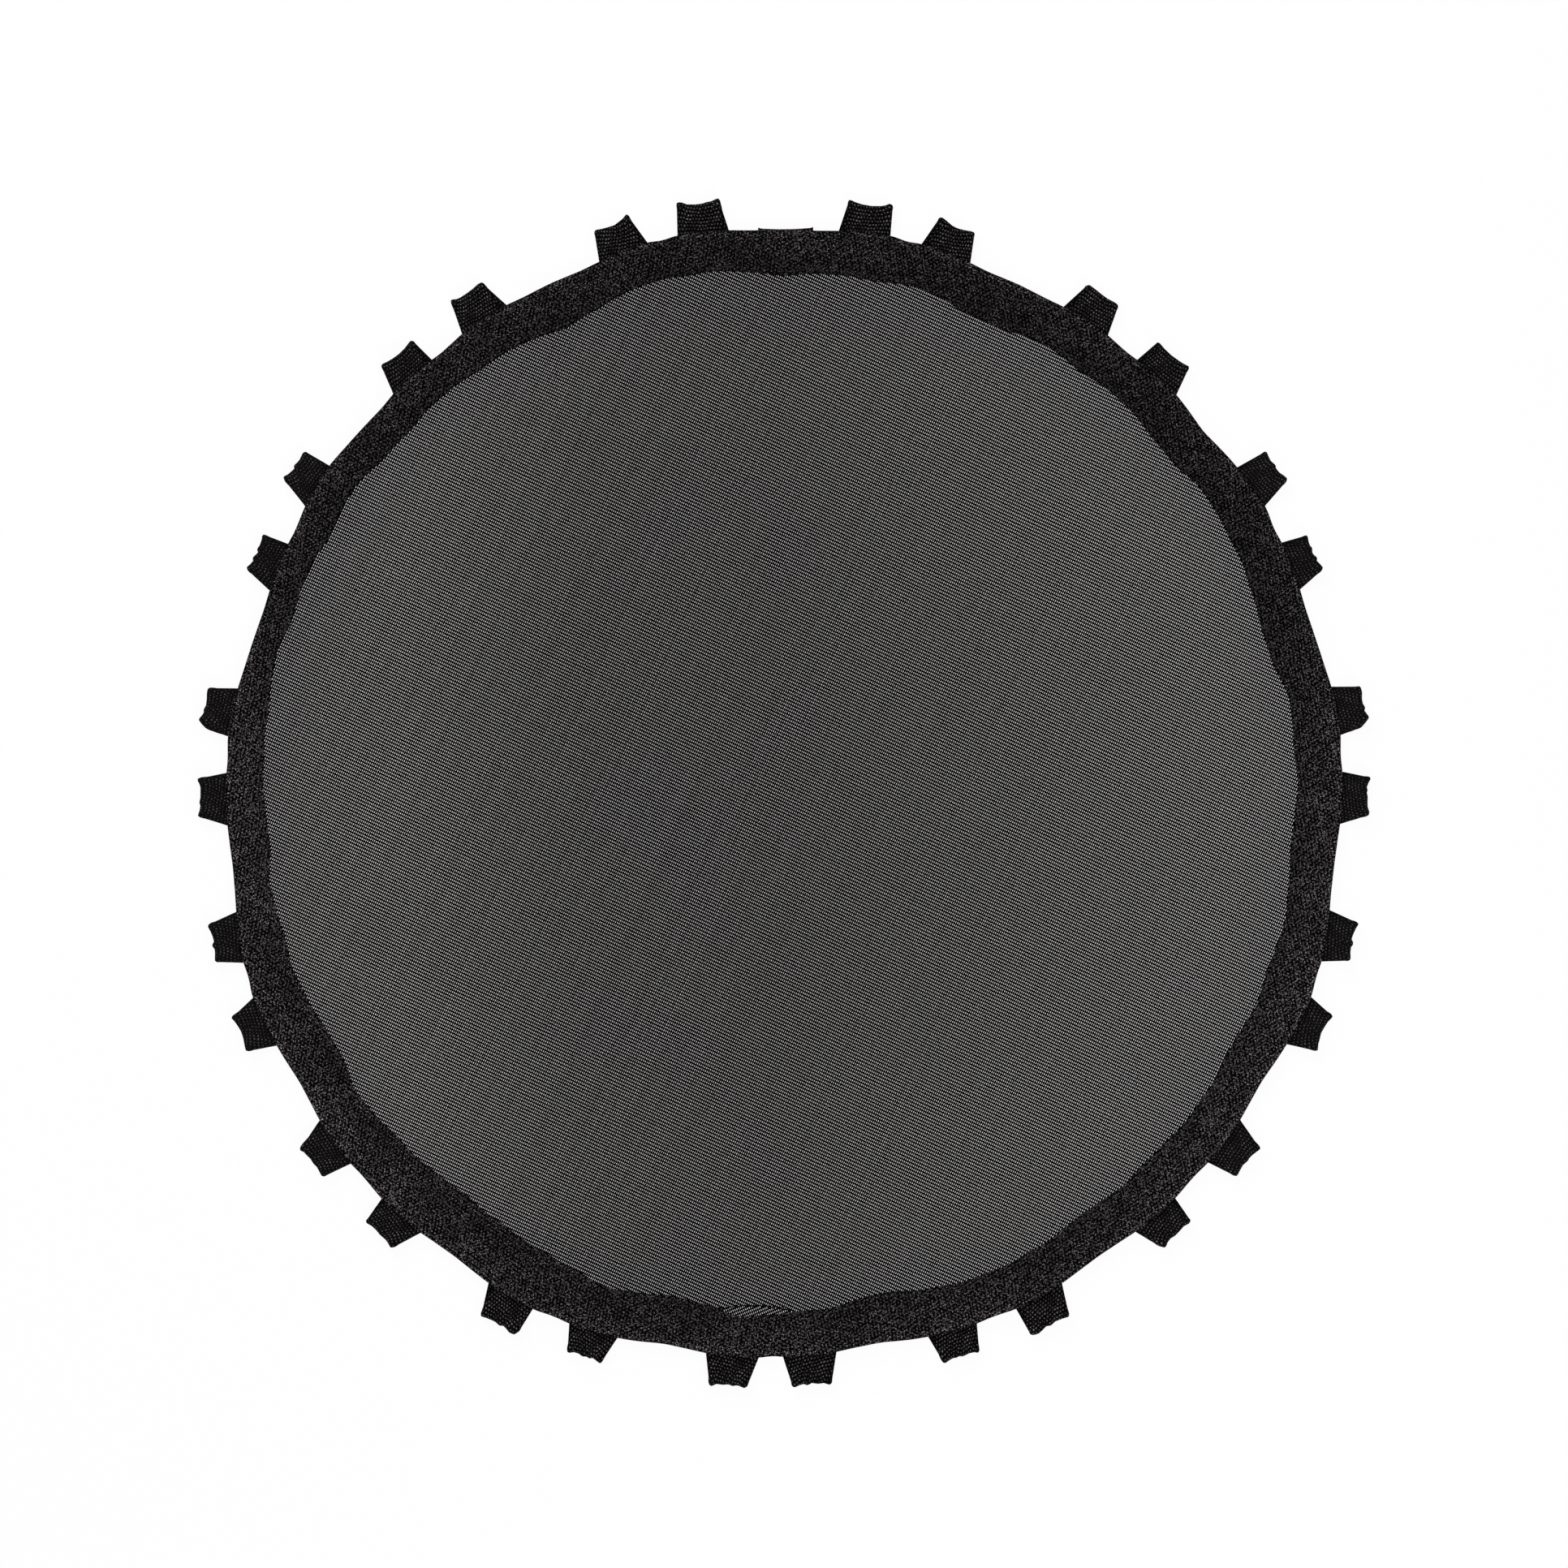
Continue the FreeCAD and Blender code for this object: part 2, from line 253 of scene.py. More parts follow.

# %% [markdown]
# ## The two kinds of webbing
# Both are black polypropylene, woven so thickly that the surface is a field of small round knuckles. What
# the eye reads as grain is each knuckle catching a little light, with black gaps between. That light is
# painted into the colour as a highlight on each knuckle, and the gaps as painted shade. A Voronoi pattern
# makes exactly that: one cell per knuckle, placed regularly or at random as the weave asks.
# A loop is a woven strip, so its rows follow the strip's own `weave` map, whose numbers are millimetres
# along the webbing and across it. The border was cut from wide folded cloth, so its rows run straight
# across the whole mat, and its right half is the mirror image of its left half.

# %% A field of knuckles
def knuckle_rows(n, across, along, row, step, disorder):
    """One knuckle per row and step. Returns millimetres to the nearest one, and a chance of its own."""
    spot = n.join(n.math("DIVIDE", across, row), n.math("DIVIDE", along, step))
    cells = n.add("ShaderNodeTexVoronoi", voronoi_dimensions="2D", feature="F1",
                  named={"Vector": spot, "Scale": 1.0, "Randomness": disorder})
    away = n.vector("SUBTRACT", cells.outputs["Position"], spot)
    distance = n.length(n.vector("MULTIPLY", away, (row, step, 0.0)))
    chance = n.add("ShaderNodeSeparateColor", cells.outputs["Color"])
    return distance, chance


def knuckles(n, across, along, row, step, disorder):
    """Two such fields, each in the gaps of the other, so that every second row is moved half a step."""
    near_a, chance_a = knuckle_rows(n, across, along, 2 * row, step, disorder)
    near_b, chance_b = knuckle_rows(n, n.plus(across, row), n.plus(along, step / 2), 2 * row, step, disorder)
    first = n.math("LESS_THAN", near_a, near_b)
    chance = n.math("MULTIPLY_ADD", first, n.minus(chance_a, chance_b), chance_b)
    return n.math("MINIMUM", near_a, near_b), chance


# Millimetres between two rows, and between the knuckles of a row.
BORDER_ROW, BORDER_STEP = 1.94, 2.5
LOOP_ROW, LOOP_STEP = 2.13, 1.72
print("knuckles in a square centimetre of border", round(100 / BORDER_ROW / BORDER_STEP, 1))
print("and of loop", round(100 / LOOP_ROW / LOOP_STEP, 1))

# %% Where a point lies in the weave
BORDER_ACROSS = math.radians(67.2)


def weave_place(n, drift):
    """Millimetres along and across from the piece's weave map, with the slow drift of hand-fed cloth."""
    place = n.add("ShaderNodeUVMap", uv_map="weave")
    wander = n.add("ShaderNodeTexNoise", place, None, 0.12, 1.0).outputs["Color"]
    wander = n.vector("ADD", wander, (-0.5, -0.5, -0.5))
    return n.vector("ADD", place, n.vector("MULTIPLY", wander, (drift, drift, drift))), place


def cut_place(n, drift):
    """Millimetres across the whole mat. The right half is the left half's mirror image."""
    spot = n.add("ShaderNodeTexCoord").outputs["Object"]
    wander = n.add("ShaderNodeTexNoise", spot, None, 60.0, 1.0).outputs["Color"]
    x, y, _ = n.parts(spot)
    aside, ahead, _ = n.parts(wander)
    aside = n.between(aside, 0.0, 1.0, -drift, drift, soft=False)
    ahead = n.between(ahead, 0.0, 1.0, -drift, drift, soft=False)
    x = n.math("MULTIPLY_ADD", n.math("ABSOLUTE", x), 1 / MM, aside)
    y = n.math("MULTIPLY_ADD", y, 1 / MM, ahead)
    return x, y


def in_rows(n, x, y, direction):
    """Turns a place into millimetres across the rows, in the direction given, and along them."""
    ahead, aside = math.cos(direction), math.sin(direction)
    across = n.math("MULTIPLY_ADD", x, ahead, n.times(y, aside))
    along = n.math("MULTIPLY_ADD", x, aside, n.times(y, -ahead))
    return across, along


print("the border's rows lean by", round(90 - math.degrees(BORDER_ACROSS), 1), "degrees")

# %% Start and finish a material
BUMP_STRENGTH = 0.9


def new_material(name):
    """A material with nothing in it but its surface, ready for its nodes."""
    material = bpy.data.materials.new(name)
    material.use_nodes = True
    return material, Nodes(material.node_tree), material.node_tree.nodes["Principled BSDF"]


def finish_cloth(n, surface, colour, height, depth, rough, sheen=0.0):
    """Writes colour, bump and gloss on the surface."""
    bump = n.add("ShaderNodeBump", named={"Strength": BUMP_STRENGTH, "Distance": depth, "Height": height})
    n.give(surface, {
        "Normal": bump, "Base Color": colour, "Roughness": rough, "Specular IOR Level": 0.01,
        "Sheen Weight": sheen, "Sheen Roughness": 0.5, "Sheen Tint": (0.55, 0.55, 0.57, 1)})


print("cloth finish, bump strength", BUMP_STRENGTH)

# %% The border's webbing
# Millimetres from the rim to the seam, and to where its livelier outer half fades in.
BORDER_SEAM, OUTER_HALF = 2.2, (26.0, 10.0)
# The border is darker towards the overlap, and a little at the other end: from where to where on the mat,
# in millimetres, and the share of the light at each.
BORDER_DARKER = (0.0, 140.0, 0.97, 0.6), (-320.0, -200.0, 0.86, 1.0)

border_webbing, n, surface = new_material("border webbing")
place, still = weave_place(n, 2.2)
along, across, _ = n.parts(place)
from_rim = n.parts(still)[1]
outer_half = n.between(from_rim, *OUTER_HALF)
slow = n.noise(still, 0.035, 2.0)
x, y = cut_place(n, 0.9)
disorder = n.math("MULTIPLY_ADD", outer_half, 0.04, n.between(slow, 0.35, 0.65, 0.03, 0.09))
near, chance = knuckles(n, *in_rows(n, x, y, BORDER_ACROSS), BORDER_ROW, BORDER_STEP, disorder)
knuckle = n.between(near, 0.8, 0.15)
# Painted glints: rare bright specks of shiny fibre, also raised a little in the bump.
glint_spot_near, glint_spot_chance = knuckle_rows(n, along, across, 0.95, 0.95, 1.0)
glint_spot = n.between(glint_spot_near, 0.42, 0.08)
seam = n.between(n.math("ABSOLUTE", n.minus(from_rim, BORDER_SEAM)), 0.5, 1.6, 1.0, 0.0)
lively = n.math("MULTIPLY_ADD", seam, 0.4, n.math("MULTIPLY_ADD", outer_half, 0.25, 0.65))
lively = n.times(lively, n.between(slow, 0.35, 0.65, 0.85, 1.15))
for darker in BORDER_DARKER:
    lively = n.times(lively, n.between(y, *darker))
# Painted highlight on each knuckle, with painted shade in the gaps between.
round_light = n.math("MULTIPLY_ADD", chance, 0.03, 0.05)
glint = n.times(glint_spot, n.math("MULTIPLY_ADD", n.math("POWER", glint_spot_chance, 5.0), 0.5, 0.002))
light = n.times(n.plus(n.times(knuckle, round_light), glint), lively)
light = n.plus(light, 0.0001)
height = n.math("MULTIPLY_ADD", glint_spot, 0.3, knuckle)
rough = n.between(chance, 0.0, 1.0, 0.5, 0.75, soft=False)
finish_cloth(n, surface, n.black_dye(light), height, 0.28 * MM, rough)
print("nodes in border webbing", len(border_webbing.node_tree.nodes))

# %% The loops' webbing
HALF_STRIP = 12.7
# The loops at the mat's two ends get brighter painted highlights on their knuckles, as the light falls on
# them, and those at its sides are painted a more even grey. The change is between these, in metres ahead of
# the middle or behind it.
LOOP_HIGHLIGHT_CHANGE = (0.18, 0.33)

loop_webbing, n, surface = new_material("loop webbing")
place, still = weave_place(n, 1.2)
along, across, _ = n.parts(place)
near, chance = knuckles(n, along, across, LOOP_ROW, LOOP_STEP, 0.14)
knuckle = n.between(near, 0.56, 0.1)
# Painted glints: small bright specks of shiny fibre.
glint_spot_near, glint_spot_chance = knuckle_rows(n, along, across, 0.85, 0.85, 1.0)
glint_spot = n.times(n.between(glint_spot_near, 0.4, 0.1), n.math("POWER", glint_spot_chance, 2.0))
slow = n.noise(still, 0.11, 2.0)
fine = n.noise(place, 2.3, 2.0, 0.6)
edge = n.between(n.math("ABSOLUTE", across), 11.0, 12.8, 1.0, 0.3)
side = n.math("ABSOLUTE", n.parts(n.add("ShaderNodeTexCoord").outputs["Object"])[1])
# Painted light: brighter painted highlights on the loops at the mat's two ends, and a painted even grey on
# those at its sides.
end_highlight = n.between(side, *LOOP_HIGHLIGHT_CHANGE, 0.54, 1.06)
base = n.between(side, *LOOP_HIGHLIGHT_CHANGE, 0.0032, 0.0004)
# Painted highlight on each knuckle, with painted shade in the gaps between.
light = n.times(knuckle, n.math("MULTIPLY_ADD", chance, 0.15, 0.05))
light = n.math("MULTIPLY_ADD", glint_spot, 0.026, light)
light = n.times(light, n.between(fine, 0.25, 0.75, 0.5, 1.5, soft=False))
# Painted shade: the lower run, up to the fold, is darker, as it lies in the shadow of the upper run.
light = n.times(light, n.between(along, 36.0, 40.0, 0.45, 1.0))
light = n.times(light, n.times(end_highlight, n.between(slow, 0.3, 0.7, 0.5, 1.3)))
light = n.math("MULTIPLY_ADD", light, edge, n.times(base, n.between(fine, 0.3, 0.7, 0.6, 1.4)))
height = n.plus(knuckle, n.times(fine, 0.4))
rough = n.between(chance, 0.0, 1.0, 0.5, 0.7, soft=False)
finish_cloth(n, surface, n.black_dye(light), height, 0.25 * MM, rough)
print("nodes in loop webbing", len(loop_webbing.node_tree.nodes))

# %% [markdown]
# ## Threads
# The cloth's threads are flat monofilament tape, black and a little shiny, streaked along their length
# where they were drawn. The sewing thread is a twisted dark grey yarn, mottled in small spots.

# %% The cloth's threads and the sewing thread
cloth_thread, n, surface = new_material("cloth thread")
thread_map = n.add("ShaderNodeAttribute", attribute_name="thread").outputs["Vector"]
along, across, chance = n.parts(thread_map)
streaks = n.noise(n.join(n.times(along, 0.25), n.times(across, 5.0), n.times(chance, 40.0)), 1.0, 3.0, 0.6)
light = n.between(streaks, 0.3, 0.7, 0.0004, 0.0024, soft=False)
light = n.times(light, n.between(chance, 0.0, 1.0, 0.6, 1.4, soft=False))
rough = n.between(streaks, 0.3, 0.7, 0.42, 0.62)
finish_cloth(n, surface, n.black_dye(light, 1.6, 0.95), streaks, 0.05 * MM, rough)

sewing_thread, n, surface = new_material("sewing thread")
spot = n.add("ShaderNodeTexCoord").outputs["Object"]
turned = n.noise(spot, 900.0, 2.0)
light = n.between(turned, 0.3, 0.7, 0.008, 0.05, soft=False)
rough = n.between(turned, 0.3, 0.7, 0.45, 0.7)
finish_cloth(n, surface, n.black_dye(light), turned, 0.1 * MM, rough, 0.03)
print("materials", [m.name for m in bpy.data.materials])

# %% [markdown]
# ## The border's two edges
# The packed border is a ring, so its corner points fall on two closed lines. They are read as a distance
# from the middle for every quarter of a degree, and smoothed by keeping only the slow waves. The real
# border was fed by hand: it wanders a little between the loops, and its inner edge is wavier. Those small
# departures are written as short lists of millimetres and eased in between.

# %% Read the edges from the packed border
STEPS = 1440
WAVES_KEPT = 40
directions = np.arange(STEPS) * 2 * math.pi / STEPS


def edge_line(points):
    """Distance from the middle at every step round, without waves shorter than the ones kept."""
    turn = np.arctan2(points[:, 1], points[:, 0])
    far = np.hypot(points[:, 0], points[:, 1])
    line = np.interp(directions, turn, far, period=2 * math.pi)
    waves = np.fft.rfft(line)
    waves[WAVES_KEPT:] = 0
    return np.fft.irfft(waves, STEPS)


def ring_edges(name):
    """The outer and the inner edge of one packed ring."""
    points = np.array([v.co for v in frame["nodes"][name].data.vertices])
    far = np.hypot(points[:, 0], points[:, 1])
    split = (far.max() + far.min()) / 2
    return edge_line(points[far > split]), edge_line(points[far < split])


rim, inner = ring_edges("rim_band_top")
print("rim", rim.min().round(4), rim.max().round(4), "inner", inner.min().round(4), inner.max().round(4))

# %% Where the loops are
LOOPS = 30
hinges = {}
for joint in frame["joints"]:
    axis = joint["axis"]
    outward = Vector((-axis[1], axis[0], 0))
    hinges[joint["child"]] = (Vector(joint["pos_m"]), outward.normalized())
loop_spots = [hinges[f"loop_{i + 1:02d}"][0] for i in range(LOOPS)]
loop_turns = [math.atan2(spot.y, spot.x) for spot in loop_spots]
print("first loop at", round(math.degrees(loop_turns[0]), 1), "degrees")

# %% How the border wanders
# Millimetres that the rim stands out between each loop and the next one clockwise: near the loop, halfway,
# and near the next.
RIM_BETWEEN = [
    (-.1, -1.1, -.6), (-1.3, -.2, -.3), (-.8, -1, -1.4), (.8, -1, .6), (1.1, -.1, -.5), (-.8, -.5, 0),
    (0, -.4, -.4), (-.7, -1.3, -1.1), (.9, 1.3, 1.9), (1, -.5, .2), (-.3, -.4, .3), (1, .4, 1.2),
    (1.2, .8, .6), (.2, -2, -1.9), (-2, -2, -1.4), (-.6, -1, 1), (.8, .9, 1.3), (1, 0, .4), (-.3, -.8, -1),
    (-.7, -1.1, .4), (1.7, .7, .4), (-1.7, -1.8, -.7), (-.8, -.4, -.3), (-.9, -1.1, -1.3),
    (-1.4, -.9, -.4), (1.4, .8, 0), (-2.6, -2.1, -2), (-1.5, -1.1, -1.8), (-.4, -1.3, -.7),
    (-1.2, -.9, -.9)]
RIM_PULLED_AT_LOOP = 0.8
CLEAR_OF_LOOP = math.radians(3.2)
# Millimetres that the inner edge stands out, every five degrees, counter-clockwise from the right.
INNER_EVERY_5 = [
    .3, -2, 1.6, -3.2, -1.5, -1.6, 0, 2.8, 0, 1.8, 1.2, -.2, 3.1, -.4, -.1, 2.4, .8, 2.2, 1, 2.8, 2.1, 4,
    .1, -3.3, -1.9, -2.6, .5, 0, 1.2, 1.8, -1.8, 1.9, .6, 4.8, -1.1, .1, 0, -.7, 3, -1.6, 1.8, -.2, -.5,
    3.2, -1, -.2, -2.2, .7, -.4, -.5, 5.6, 1.4, .6, 4.2, .5, .1, -4, 0, .4, 2.2, 2, 1, 2.6, -2, 1.4, 1.5,
    1.1, 2.2, -1.6, 2, .2, 0]


def eased(turns, values, softness):
    """A smooth closed line through values given at some directions."""
    line = np.interp(directions, np.mod(turns, 2 * math.pi), values, period=2 * math.pi)
    reach = int(softness * STEPS / 360)
    bell = np.exp(-0.5 * (np.arange(-3 * reach, 3 * reach + 1) / reach) ** 2)
    wrapped = np.concatenate([line[-3 * reach:], line, line[:3 * reach]])
    return np.convolve(wrapped, bell / bell.sum(), "valid")


knots, stand_out = [], []
for i, turn in enumerate(loop_turns):
    gap = (turn - loop_turns[(i + 1) % LOOPS]) % (2 * math.pi) - 2 * CLEAR_OF_LOOP
    knots += [turn - CLEAR_OF_LOOP - gap * share for share in (-0.1, 0.15, 0.5, 0.85, 1.1)]
    first, halfway, last = RIM_BETWEEN[i]
    stand_out += [first + RIM_PULLED_AT_LOOP, first, halfway, last, last + RIM_PULLED_AT_LOOP]
rim_top = rim + MM * eased(np.array(knots), np.array(stand_out), 0.5)
ripple = 0.5 * np.sin(30 * directions + 0.9) + 0.3 * np.sin(71 * directions)
# The lower ring is a little narrower, so that the upper one hides it.
inner_top = inner + MM * (eased(np.radians(np.arange(0, 360, 5)), np.array(INNER_EVERY_5), 1.0) + ripple)
inner_under = np.maximum(inner, inner_top) + MM * (0.9 + 0.4 * np.sin(23 * directions))
rim_under = np.minimum(rim, rim_top) - 0.4 * MM
border_width = (rim_top - inner_top) / MM
print("border width", border_width.min().round(1), "to", border_width.max().round(1))

# %% [markdown]
# ## The jump cloth
# The cloth is a plain weave: flat threads one way pass over and under flat threads the other way, and
# between them are small open holes that the floor shows through. A picture of a weave would look flat
# from the side, so the threads are real here, made by Geometry Nodes. A grid has two rows of points for
# each thread and one column for each crossing. The faces between two threads are taken out, each row is
# moved to its thread's edge, and each crossing is lifted or lowered in turn. A slow noise moves
# both sets of threads together, as a cloth that has been handled.

# %% Start a Geometry Nodes tree with named inputs
# The kind of every input that isn't a plain number.
KINDS = {"Threads": "Int", "Crossings": "Int", "Start": "Int", "Seed": "Int", "Line": "Object"}


def new_tree(name, *labels):
    """A tree with an input for each label, and a geometry to give back."""
    tree = bpy.data.node_groups.new(name, "GeometryNodeTree")
    for label in labels:
        kind = "NodeSocket" + KINDS.get(label, "Float")
        tree.interface.new_socket(label, in_out="INPUT", socket_type=kind)
    tree.interface.new_socket("Geometry", in_out="OUTPUT", socket_type="NodeSocketGeometry")
    return tree


def run_tree(name, tree, values):
    """Puts the tree on an empty mesh, sets its inputs, and returns its result as a plain mesh object."""
    piece = put(name, bpy.data.meshes.new(name))
    maker = piece.modifiers.new("maker", "NODES")
    maker.node_group = tree
    sockets = {s.name: s.identifier for s in tree.interface.items_tree if s.in_out == "INPUT"}
    for label, value in values.items():
        maker[sockets[label]] = value
    bpy.context.view_layer.update()
    ready = piece.evaluated_get(bpy.context.evaluated_depsgraph_get())
    made = bpy.data.meshes.new_from_object(ready)
    piece.modifiers.remove(maker)
    piece.data = made
    made.name = name
    return piece


def close_tree(n, shape, material):
    """Makes the copies real, shades them smooth, dresses them, and gives them back from the tree."""
    real = n.add("GeometryNodeRealizeInstances", shape)
    smooth = n.add("GeometryNodeSetShadeSmooth", real)
    dressed = n.add("GeometryNodeSetMaterial", smooth)
    dressed.inputs["Material"].default_value = material
    n.add("NodeGroupOutput", dressed)


print("inputs that aren't lengths or angles", list(KINDS))

# %% How tightly the cloth is drawn
# From where to where, in metres along one axis of the mat, and the share of a thread's width at each end.
# The threads are widest, and the cloth darkest, a little left of the middle.
SLACK_TO_THE_RIGHT = (-0.01, 0.31, 0.988, 0.917)
SLACK_TO_THE_LEFT = (-0.235, -0.12, 0.956, 1.0)
SLACK_TO_THE_ENDS = (0.1, 0.25, 1.0, 0.991)
# How unlike each other the threads are, as a share of their width: more on the left than on the right.
UNEVENNESS = (-0.12, 0.05, 0.047, 0.023)
# How far a few of them stray from their even places; the others hardly do.
STRAY = 0.22
print("threads narrow by", round(1 - SLACK_TO_THE_RIGHT[3], 3), "at most")


# %% One set of threads
def thread_set_tree():
    """Parallel threads, each a strip of faces that goes up and down by turns."""
    tree = new_tree("one set of threads", "Threads", "Crossings", "Pitch", "Step", "Width",
                    "Direction", "Start", "Rise", "Height", "Wander", "Seed")
    n = Nodes(tree)
    given = n.add("NodeGroupInput").outputs
    rows = n.times(given["Threads"], 2.0)
    half_threads, half_rows, half_columns = (
        n.times(n.minus(count, 1.0), 0.5) for count in (given["Threads"], rows, given["Crossings"]))
    grid = n.add("GeometryNodeMeshGrid", n.times(half_columns, 2.0),
                 n.times(half_rows, 2.0), given["Crossings"], rows)
    column, line, _ = n.parts(n.add("GeometryNodeInputPosition"))
    line = n.plus(line, half_rows)
    between = n.math("MODULO", n.math("FLOOR", n.plus(line, 0.01)), 2.0)
    strips = n.add("GeometryNodeDeleteGeometry", grid, n.math("GREATER_THAN", between, 0.5), domain="FACE")
    number = n.math("FLOOR", n.times(n.plus(line, 0.25), 0.5))
    side = n.minus(n.minus(line, n.times(number, 2.0)), 0.5)
    crossing = n.math("ROUND", n.plus(column, half_columns))
    turn = n.plus(n.plus(crossing, number), given["Start"])
    lift = n.minus(1.0, n.times(n.math("MODULO", turn, 2.0), 2.0))
    luck = n.add("ShaderNodeTexWhiteNoise", noise_dimensions="1D",
                 named={"W": n.plus(number, given["Seed"])}).outputs["Value"]
    off_luck = n.minus(luck, 0.5)
    middle = n.plus(n.minus(number, half_threads), n.times(n.math("POWER", off_luck, 3.0), STRAY))
    forward = n.times(column, given["Step"])
    aside = n.times(middle, given["Pitch"])
    x, y, _ = n.parts(n.turn(n.join(forward, aside), given["Direction"]))
    uneven = n.times(off_luck, n.between(x, *UNEVENNESS))
    width = n.times(given["Width"], n.plus(uneven, 1.0))
    for place, slack in ((x, SLACK_TO_THE_RIGHT), (x, SLACK_TO_THE_LEFT),
                         (n.math("ABSOLUTE", y), SLACK_TO_THE_ENDS)):
        width = n.times(width, n.between(place, *slack, soft=False))
    sideways = n.plus(aside, n.times(side, width))
    up = n.math("MULTIPLY_ADD", lift, given["Rise"], given["Height"])
    across = n.times(side, n.times(width, 1 / MM))
    record = n.join(n.times(forward, 1 / MM), across, luck)
    strips = n.add("GeometryNodeStoreNamedAttribute", strips, None, "thread", record,
                   data_type="FLOAT_VECTOR", domain="POINT")
    turned = n.turn(n.join(forward, sideways, up), given["Direction"])
    drift = n.add("ShaderNodeTexNoise", turned, None, 9.0, 1.0).outputs["Color"]
    drift = n.vector("ADD", drift, (-0.5, -0.5, -0.5))
    level_only = n.join(given["Wander"], given["Wander"], 0.0)
    place = n.vector("ADD", turned, n.vector("MULTIPLY", drift, level_only))
    moved = n.add("GeometryNodeSetPosition", strips, None, place)
    n.add("NodeGroupOutput", moved)
    return tree


thread_set = thread_set_tree()
print("nodes in one set of threads", len(thread_set.nodes))

# %% [markdown]
# Two such sets make the cloth. The second lies a quarter turn further round and starts on the other foot,
# so wherever one thread is up, the other is down. The cloth is trimmed to a circle that ends inside the
# border, and is made in four quarters to keep each mesh light.

# %% The cloth's tree
def jump_cloth_tree():
    """Two sets of threads through each other, trimmed to a circle and to one quarter of it."""
    tree = new_tree("jump cloth", "Coarse pitch", "Fine pitch", "Coarse width", "Fine width",
                    "Direction", "Rise", "Height", "Radius", "Middle X", "Middle Y", "Side X", "Side Y",
                    "Wander", "Seed")
    n = Nodes(tree)
    given = n.add("NodeGroupInput").outputs
    across = n.times(given["Radius"], 2.0)
    coarse = n.plus(n.math("FLOOR", n.math("DIVIDE", across, given["Coarse pitch"])), 2.0)
    fine = n.plus(n.math("FLOOR", n.math("DIVIDE", across, given["Fine pitch"])), 2.0)
    turned = n.plus(given["Direction"], math.pi / 2)
    shared = [given["Rise"], given["Height"], given["Wander"], given["Seed"]]
    both = n.add("GeometryNodeJoinGeometry")
    for values in (
            [coarse, fine, given["Coarse pitch"], given["Fine pitch"], given["Coarse width"],
             given["Direction"], 0],
            [fine, coarse, given["Fine pitch"], given["Coarse pitch"], given["Fine width"],
             turned, n.math("MODULO", fine, 2.0)]):
        one_set = n.add("GeometryNodeGroup", *values, *shared, node_tree=thread_set)
        tree.links.new(one_set.outputs[0], both.inputs[0])
    x, y, _ = n.parts(n.add("GeometryNodeInputPosition"))
    outside = n.math("GREATER_THAN", n.length(n.join(x, y)), given["Radius"])
    wrong_x = n.math("LESS_THAN", n.times(x, given["Side X"]), 0.0)
    wrong_y = n.math("LESS_THAN", n.times(y, given["Side Y"]), 0.0)
    waste = n.math("MAXIMUM", outside, n.math("MAXIMUM", wrong_x, wrong_y))
    cut = n.add("GeometryNodeDeleteGeometry", both, waste, domain="FACE")
    placed = n.add("GeometryNodeTransform", cut,
                   named={"Translation": n.join(given["Middle X"], given["Middle Y"])})
    close_tree(n, placed, cloth_thread)
    return tree


cloth_tree = jump_cloth_tree()
print("nodes in the jump cloth", len(cloth_tree.nodes))

# %% Weave the four quarters
THREADS = {"Coarse pitch": 2.015 * MM, "Fine pitch": 1.245 * MM, "Coarse width": 1.06 * MM,
           "Fine width": 1.014 * MM, "Rise": 0.16 * MM}
CLOTH_TURN, CLOTH_WANDER = math.radians(-24.5), 0.8 * MM
UNDER_THE_BORDER = 5 * MM
cloth_low, cloth_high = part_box("mesh_sheet")
middle = (cloth_low + cloth_high) / 2
cloth_radius = float(inner_top.max()) + UNDER_THE_BORDER
cloth_quarters = []
for i, (side_x, side_y) in enumerate(((1.0, 1.0), (-1.0, 1.0), (-1.0, -1.0), (1.0, -1.0))):
    quarter = run_tree(f"cloth_quarter_{i + 1}", cloth_tree, {
        **THREADS, "Direction": CLOTH_TURN, "Height": middle.z, "Radius": cloth_radius, "Middle X": middle.x,
        "Middle Y": middle.y, "Side X": side_x, "Side Y": side_y, "Wander": CLOTH_WANDER, "Seed": 7})
    cloth_quarters.append(quarter)
    print(quarter.name, "faces", len(quarter.data.polygons))

# %% [markdown]
# In one place by the lower edge of the border the cloth was turned over before it was sewn in. A strip a
# few millimetres wide shows there, and its threads run the other way. The cloth is cut away along a
# shallow arch and a strip of mirrored cloth fills it.

# %% Turn the edge over
HEM_MIDDLE, HEM_HALF, HEM_TOP, HEM_END = -19 * MM, 23 * MM, -315.8 * MM, -327 * MM
HEM_ARCH = 5.5
HEM_OVERLAP = 0.9 * MM
HEM_TURN, HEM_WANDER, HEM_RAISED = math.radians(22.0), 0.5 * MM, 0.3 * MM


def in_hem(spot, over=0.0):
    """Whether a place lies in the strip, whose upper edge falls away from its middle."""
    arch = HEM_TOP + over - HEM_ARCH * (spot.x - HEM_MIDDLE) ** 2
    return abs(spot.x - HEM_MIDDLE) < HEM_HALF and HEM_END < spot.y < arch


def trim(piece, keep):
    """Removes the faces whose middle isn't to be kept."""
    cut = bmesh.new()
    cut.from_mesh(piece.data)
    waste = [face for face in cut.faces if not keep(face.calc_center_median())]
    bmesh.ops.delete(cut, geom=waste, context="FACES")
    cut.to_mesh(piece.data)
    cut.free()


